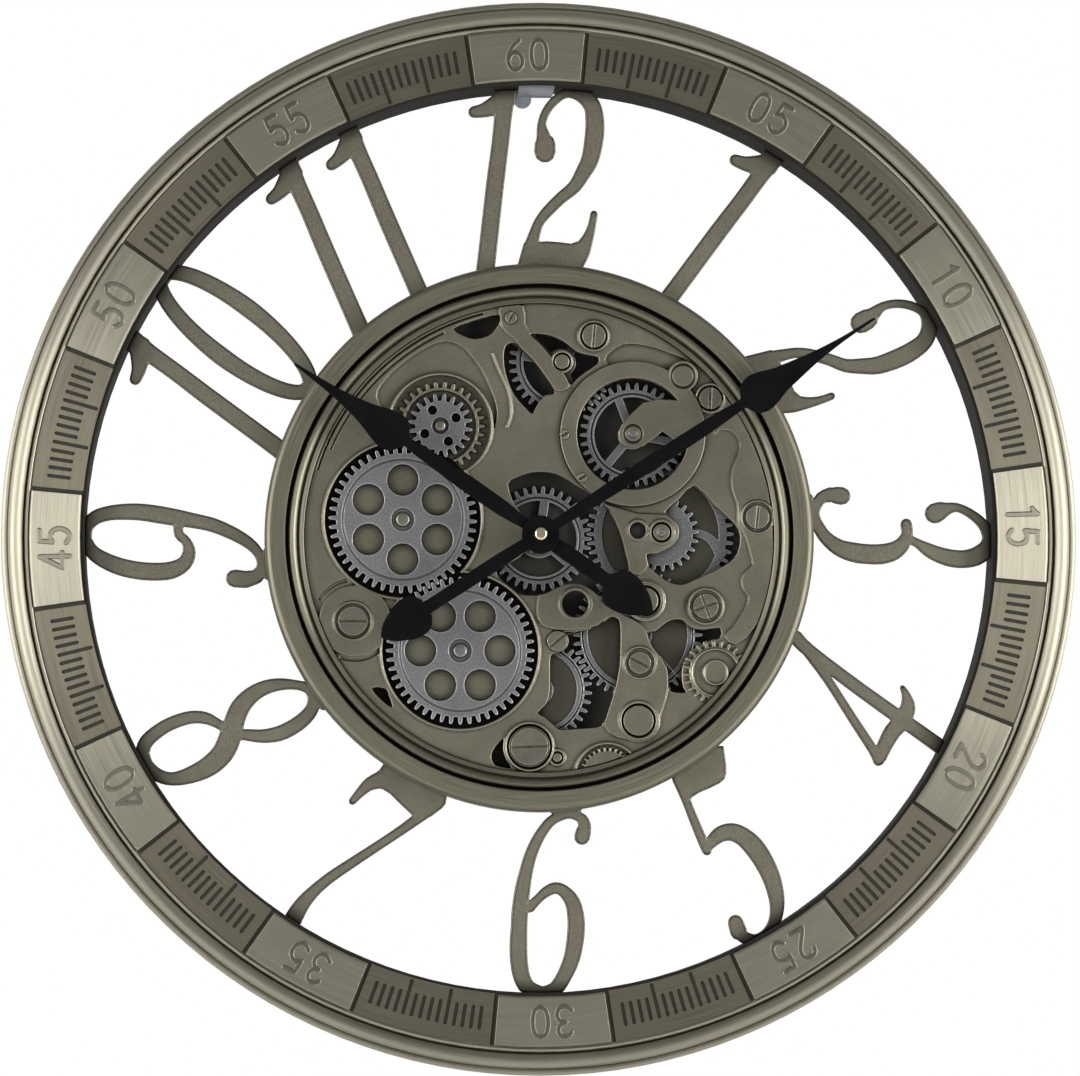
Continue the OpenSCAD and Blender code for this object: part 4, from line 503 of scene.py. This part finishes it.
class CLOCK_OT_ring(bpy.types.Operator):
    """Finish the outer rim, the chapter ring, its tick strips and minute plates, and the hanger"""

    bl_idname = "clock.ring"
    bl_label = "Ring"

    def execute(self, context):
        tones, edges = context.scene.clock_finishes, context.scene.clock_edges
        # Painted shade and dark wax in the outer rim's grooves, made from a dark copy of its pewter
        rim_corner_shade = tuple(0.3 * c for c in tones.pewter)
        low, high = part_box("minute_plates")
        ring = brushed_round("pewter_brushed", tones.pewter[:], rim_corner_shade)
        plate = brushed_round("pewter_plate", tones.pewter[:], tones.wax_and_shade[:], raised=low.y + 0.3 * MM)
        strip = brushed_round("pewter_strip", tones.strip[:], tones.wax_and_shade[:], 0.5, 0.6)
        dress("outer_rim", ring)
        edge = (high.x - low.x) / 2 + 0.1 * MM
        wall = RING_WALL + 2.0 * MM
        dress("chapter_ring", rolled_sheet("ring_sheet", tones.pewter[:], RING_SHADE, RING_FLOOR, wall, edge))
        dress("tick_strips", strip)
        soften("minute_plates", edges.plate, plate)
        dress("hanger", turned_metal("hanger_zinc", tones.zinc[:], 0.42))
        dull = tuple(0.45 * c for c in tones.zinc)
        dress("hanger_strip", turned_metal("strip_zinc", dull, 0.5))
        return {"FINISHED"}


class CLOCK_OT_figures(bpy.types.Operator):
    """Round the edges of the twelve hour figures and finish them"""

    bl_idname = "clock.figures"
    bl_label = "Hour figures"

    def execute(self, context):
        tones, edges = context.scene.clock_finishes, context.scene.clock_edges
        plate = satin_plate("pewter_figure", tones.figure[:], tones.wax_and_shade[:], end=RING_WALL)
        for node in FIGURES:
            soften(node, edges.figure, plate, 3)
        return {"FINISHED"}


class CLOCK_OT_drum(bpy.types.Operator):
    """Finish the drum, the bezel and the beaded dial rim"""

    bl_idname = "clock.drum"
    bl_label = "Drum and bezel"

    def execute(self, context):
        tones = context.scene.clock_finishes
        ring = brushed_round("pewter_bezel", tones.bezel[:], tones.wax_and_shade[:], 0.5, 0.0)
        dress("bezel", ring)
        # The beaded dial rim is a lighter copy of the bezel pewter, a painted highlight
        bead = tuple(1.28 * c for c in tones.bezel)
        dress("dial_rim", brushed_round("pewter_bead", bead, tones.wax_and_shade[:], 0.42, 0.7))
        dress("drum", satin_plate("pewter_drum", tones.figure[:], tones.wax_and_shade[:]))
        return {"FINISHED"}


class CLOCK_OT_dial(bpy.types.Operator):
    """Finish the dial plate, the ring bridge and the screws"""

    bl_idname = "clock.dial"
    bl_label = "Gear dial"

    def execute(self, context):
        tones, edges = context.scene.clock_finishes, context.scene.clock_edges
        # Lighter edge colour of the dial: worn edges and a painted highlight
        wear_and_highlight = tuple(min(1.0, c * 1.7) for c in tones.cast)
        # Rings of painted shade on the pocket floors round the left and lower wheels
        shaded_wells = []
        for node in ("left_wheel", "lower_wheel"):
            low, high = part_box(node)
            reach = (high.x - low.x) / 2
            middle = (low + high) / 2
            shaded_wells.append((middle.x, middle.z, reach - 5.0 * MM, reach + 2.3 * MM, low.y + 1.5 * MM))
        cast = worn_cast("dial_cast", tones.cast[:], tones.wax_and_shade[:], wear_and_highlight, shaded_wells=shaded_wells)
        soften("dial_plate", edges.dial, cast)
        soften("ring_bridge", edges.dial, cast)
        steel = worn_cast("screw_steel", tones.screw[:], tones.wax_and_shade[:], wear_and_highlight, 0.36, 900.0, 3.0 * MM)
        soften("dial_screws", edges.wheel, steel)
        soften("wheel_studs", edges.wheel, steel)
        dress("pillars", steel)
        dress("main_plate", moulded_plastic("main_grey", tones.main[:], 0.45))
        return {"FINISHED"}


class CLOCK_OT_wheels(bpy.types.Operator):
    """Finish the wheels in the pockets and the deeper wheels with their arbors"""

    bl_idname = "clock.wheels"
    bl_label = "Wheels"

    def execute(self, context):
        tones, edges = context.scene.clock_finishes, context.scene.clock_edges
        # Lighter edge colour of the front wheels: worn edges and a painted highlight
        bright = tuple(min(1.0, c * 2.2) for c in tones.gear)
        front = worn_cast("gear_cast", tones.gear[:], tones.wax_and_shade[:], bright, 0.4, 1000.0, 3.5 * MM, 0.85)
        soften("left_wheel", edges.wheel, front)
        soften("lower_wheel", edges.wheel, front)
        # Lighter edge colour of the deeper wheels: worn edges and a painted highlight
        rubbed_and_lit = tuple(min(1.0, c * 1.9) for c in tones.deep_gear_shaded)
        deep = worn_cast("gear_deep_shaded", tones.deep_gear_shaded[:], tones.wax_and_shade[:], rubbed_and_lit, 0.4, 1000.0, 6.0 * MM, 0.8)
        for name in ("small", "centre", "top", "ring"):
            soften(f"{name}_wheel", edges.wheel, deep)
        # Painted shade for the recessed webs of the right, bottom and corner wheels
        web_shade = tuple(0.4 * c for c in tones.cast)
        for name in ("right", "bottom", "corner"):
            webbed = worn_cast(
                f"gear_{name}", tones.deep_gear_shaded[:], tones.wax_and_shade[:], rubbed_and_lit, 0.4, 1000.0, 6.0 * MM, 0.8,
                sunk_shade=(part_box(f"{name}_wheel")[0].y + 0.3 * MM, web_shade),
            )
            soften(f"{name}_wheel", edges.wheel, webbed)
        for name in ("ring", "right", "bottom", "corner", "lower"):
            soften(f"{name}_arbor", edges.wheel, deep)
        return {"FINISHED"}


class CLOCK_OT_hands(bpy.types.Operator):
    """Finish the two spade hands and the brass nut"""

    bl_idname = "clock.hands"
    bl_label = "Hands"

    def execute(self, context):
        tones, edges = context.scene.clock_finishes, context.scene.clock_edges
        paint = satin_paint("hand_black", tones.hand[:])
        soften("hour_hand", edges.hand, paint)
        soften("minute_hand", edges.hand, paint)
        dress("hand_nut", turned_metal("nut_brass", tones.brass[:], 0.22))
        steel = turned_metal("arbor_steel", tones.screw[:], 0.3)
        dress("minute_arbor", steel)
        dress("hour_tube", steel)
        return {"FINISHED"}


class CLOCK_OT_works(bpy.types.Operator):
    """Finish the movement, the drive, the battery box and the rear cover"""

    bl_idname = "clock.works"
    bl_label = "Works and back"

    def execute(self, context):
        tones = context.scene.clock_finishes
        black = moulded_plastic("case_black", tones.plastic[:])
        grey = moulded_plastic("moving_plastic", MOVING_GREY)
        cover = satin_paint("cover_black", COVER_BLACK, 0.5)
        steel = turned_metal("works_steel", tones.screw[:], 0.32)
        brass = turned_metal("works_brass", tones.brass[:], 0.3)
        dress("rear_cover", cover)
        dress("cover_screws", steel)
        for node in ("battery_box", "box_cover", "movement_case", "movement_back", "drive_unit"):
            dress(node, black)
        for node in ("motion_wheel", "set_knob", "switch_slide"):
            dress(node, grey)
        for node in ("motor_pinion", "centre_nut"):
            dress(node, brass)
        dress("gear_motor", turned_metal("motor_can", MOTOR_CAN, 0.35))
        dress("aa_cells", satin_paint("cell_wrap", CELL_WRAP, 0.3))
        return {"FINISHED"}


class CLOCK_OT_stage(bpy.types.Operator):
    """Set up the floor, the room, the two softboxes and the camera"""

    bl_idname = "clock.stage"
    bl_label = "Studio"

    def execute(self, context):
        stage = context.scene.clock_stage
        self.floor()
        self.room(context.scene, stage.room)
        self.softbox("left_softbox", LEFT_LAMP, stage.left_power)
        self.softbox("right_softbox", RIGHT_LAMP, stage.right_power)
        back = Vector((
            -math.sin(stage.beside) * math.cos(stage.below),
            -math.cos(stage.beside) * math.cos(stage.below),
            -math.sin(stage.below),
        ))
        data = bpy.data.cameras.new("photo_camera")
        data.lens = stage.lens
        data.sensor_width = SENSOR
        data.shift_y = SHIFT
        camera = bpy.data.objects.new("photo_camera", data)
        camera.location = MIDDLE + back * stage.distance
        camera.rotation_euler = (-back).to_track_quat("-Z", "Y").to_euler()
        context.scene.collection.objects.link(camera)
        context.scene.camera = camera
        context.scene.view_settings.view_transform = "Standard"
        return {"FINISHED"}

    def floor(self):
        bpy.ops.object.select_all(action="DESELECT")
        bpy.ops.mesh.primitive_plane_add(size=FLOOR_SIZE, location=(0.0, 0.0, FLOOR_HEIGHT))
        floor = bpy.context.object
        floor.name = "studio_floor"
        bpy.ops.object.transform_apply(location=True)
        paper = Finish("floor_paper", (0.86, 0.86, 0.86), 0.0, 0.85)
        cloud = paper.noise(paper.place, 3.0, 2.0)
        paper.colour(paper.mix(cloud, (0.84, 0.84, 0.84, 1.0), (0.88, 0.88, 0.88, 1.0)))
        floor.data.materials.append(paper.material)

    def room(self, scene, level):
        """White behind the clock, dimmer on the camera's side; the camera sees plain white."""
        world = bpy.data.worlds.new("studio_room")
        world.use_nodes = True
        scene.world = world
        tree = world.node_tree
        background = tree.nodes["Background"]
        way = tree.nodes.new("ShaderNodeTexCoord")
        split = tree.nodes.new("ShaderNodeSeparateXYZ")
        tree.links.new(way.outputs["Generated"], split.inputs[0])
        depth = tree.nodes.new("ShaderNodeMapRange")
        depth.interpolation_type = "SMOOTHSTEP"
        for socket, value in (("From Min", -0.25), ("From Max", 0.45), ("To Min", level), ("To Max", 1.0)):
            depth.inputs[socket].default_value = value
        tree.links.new(split.outputs["Y"], depth.inputs["Value"])
        path = tree.nodes.new("ShaderNodeLightPath")
        seen = tree.nodes.new("ShaderNodeMath")
        seen.operation = "MAXIMUM"
        tree.links.new(path.outputs["Is Camera Ray"], seen.inputs[0])
        tree.links.new(depth.outputs["Result"], seen.inputs[1])
        tree.links.new(seen.outputs[0], background.inputs["Strength"])
        background.inputs["Color"].default_value = (1.0, 1.0, 1.0, 1.0)

    def softbox(self, name, offset, power):
        data = bpy.data.lights.new(name, "AREA")
        data.shape = "RECTANGLE"
        data.size, data.size_y = LAMP_SIZE
        data.energy = power
        lamp = bpy.data.objects.new(name, data)
        lamp.location = MIDDLE + offset
        lamp.rotation_euler = (-offset).to_track_quat("-Z", "Y").to_euler()
        bpy.context.scene.collection.objects.link(lamp)


class CLOCK_PT_panel(bpy.types.Panel):
    """The clock's pieces, sizes and colours"""

    bl_idname = "CLOCK_PT_panel"
    bl_label = "Skeleton clock"
    bl_space_type = "VIEW_3D"
    bl_region_type = "UI"
    bl_category = "Clock"

    def draw(self, context):
        for group in (context.scene.clock_finishes, context.scene.clock_edges, context.scene.clock_stage):
            box = self.layout.box()
            for name in group.__annotations__:
                box.prop(group, name)
        for operator in OPERATORS:
            self.layout.operator(operator.bl_idname)


GROUPS = {"clock_finishes": ClockFinishes, "clock_edges": ClockEdges, "clock_stage": ClockStage}
OPERATORS = (
    CLOCK_OT_ring,
    CLOCK_OT_figures,
    CLOCK_OT_drum,
    CLOCK_OT_dial,
    CLOCK_OT_wheels,
    CLOCK_OT_hands,
    CLOCK_OT_works,
    CLOCK_OT_stage,
)


def register():
    for name, group in GROUPS.items():
        bpy.utils.register_class(group)
        setattr(bpy.types.Scene, name, bpy.props.PointerProperty(type=group))
    for cls in (*OPERATORS, CLOCK_PT_panel):
        bpy.utils.register_class(cls)


def unregister():
    for cls in (CLOCK_PT_panel, *reversed(OPERATORS)):
        bpy.utils.unregister_class(cls)
    for name, group in GROUPS.items():
        delattr(bpy.types.Scene, name)
        bpy.utils.unregister_class(group)


def main():
    register()
    for operator in OPERATORS:
        family, action = operator.bl_idname.split(".")
        getattr(getattr(bpy.ops, family), action)()
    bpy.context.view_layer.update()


if __name__ == "__main__":
    main()
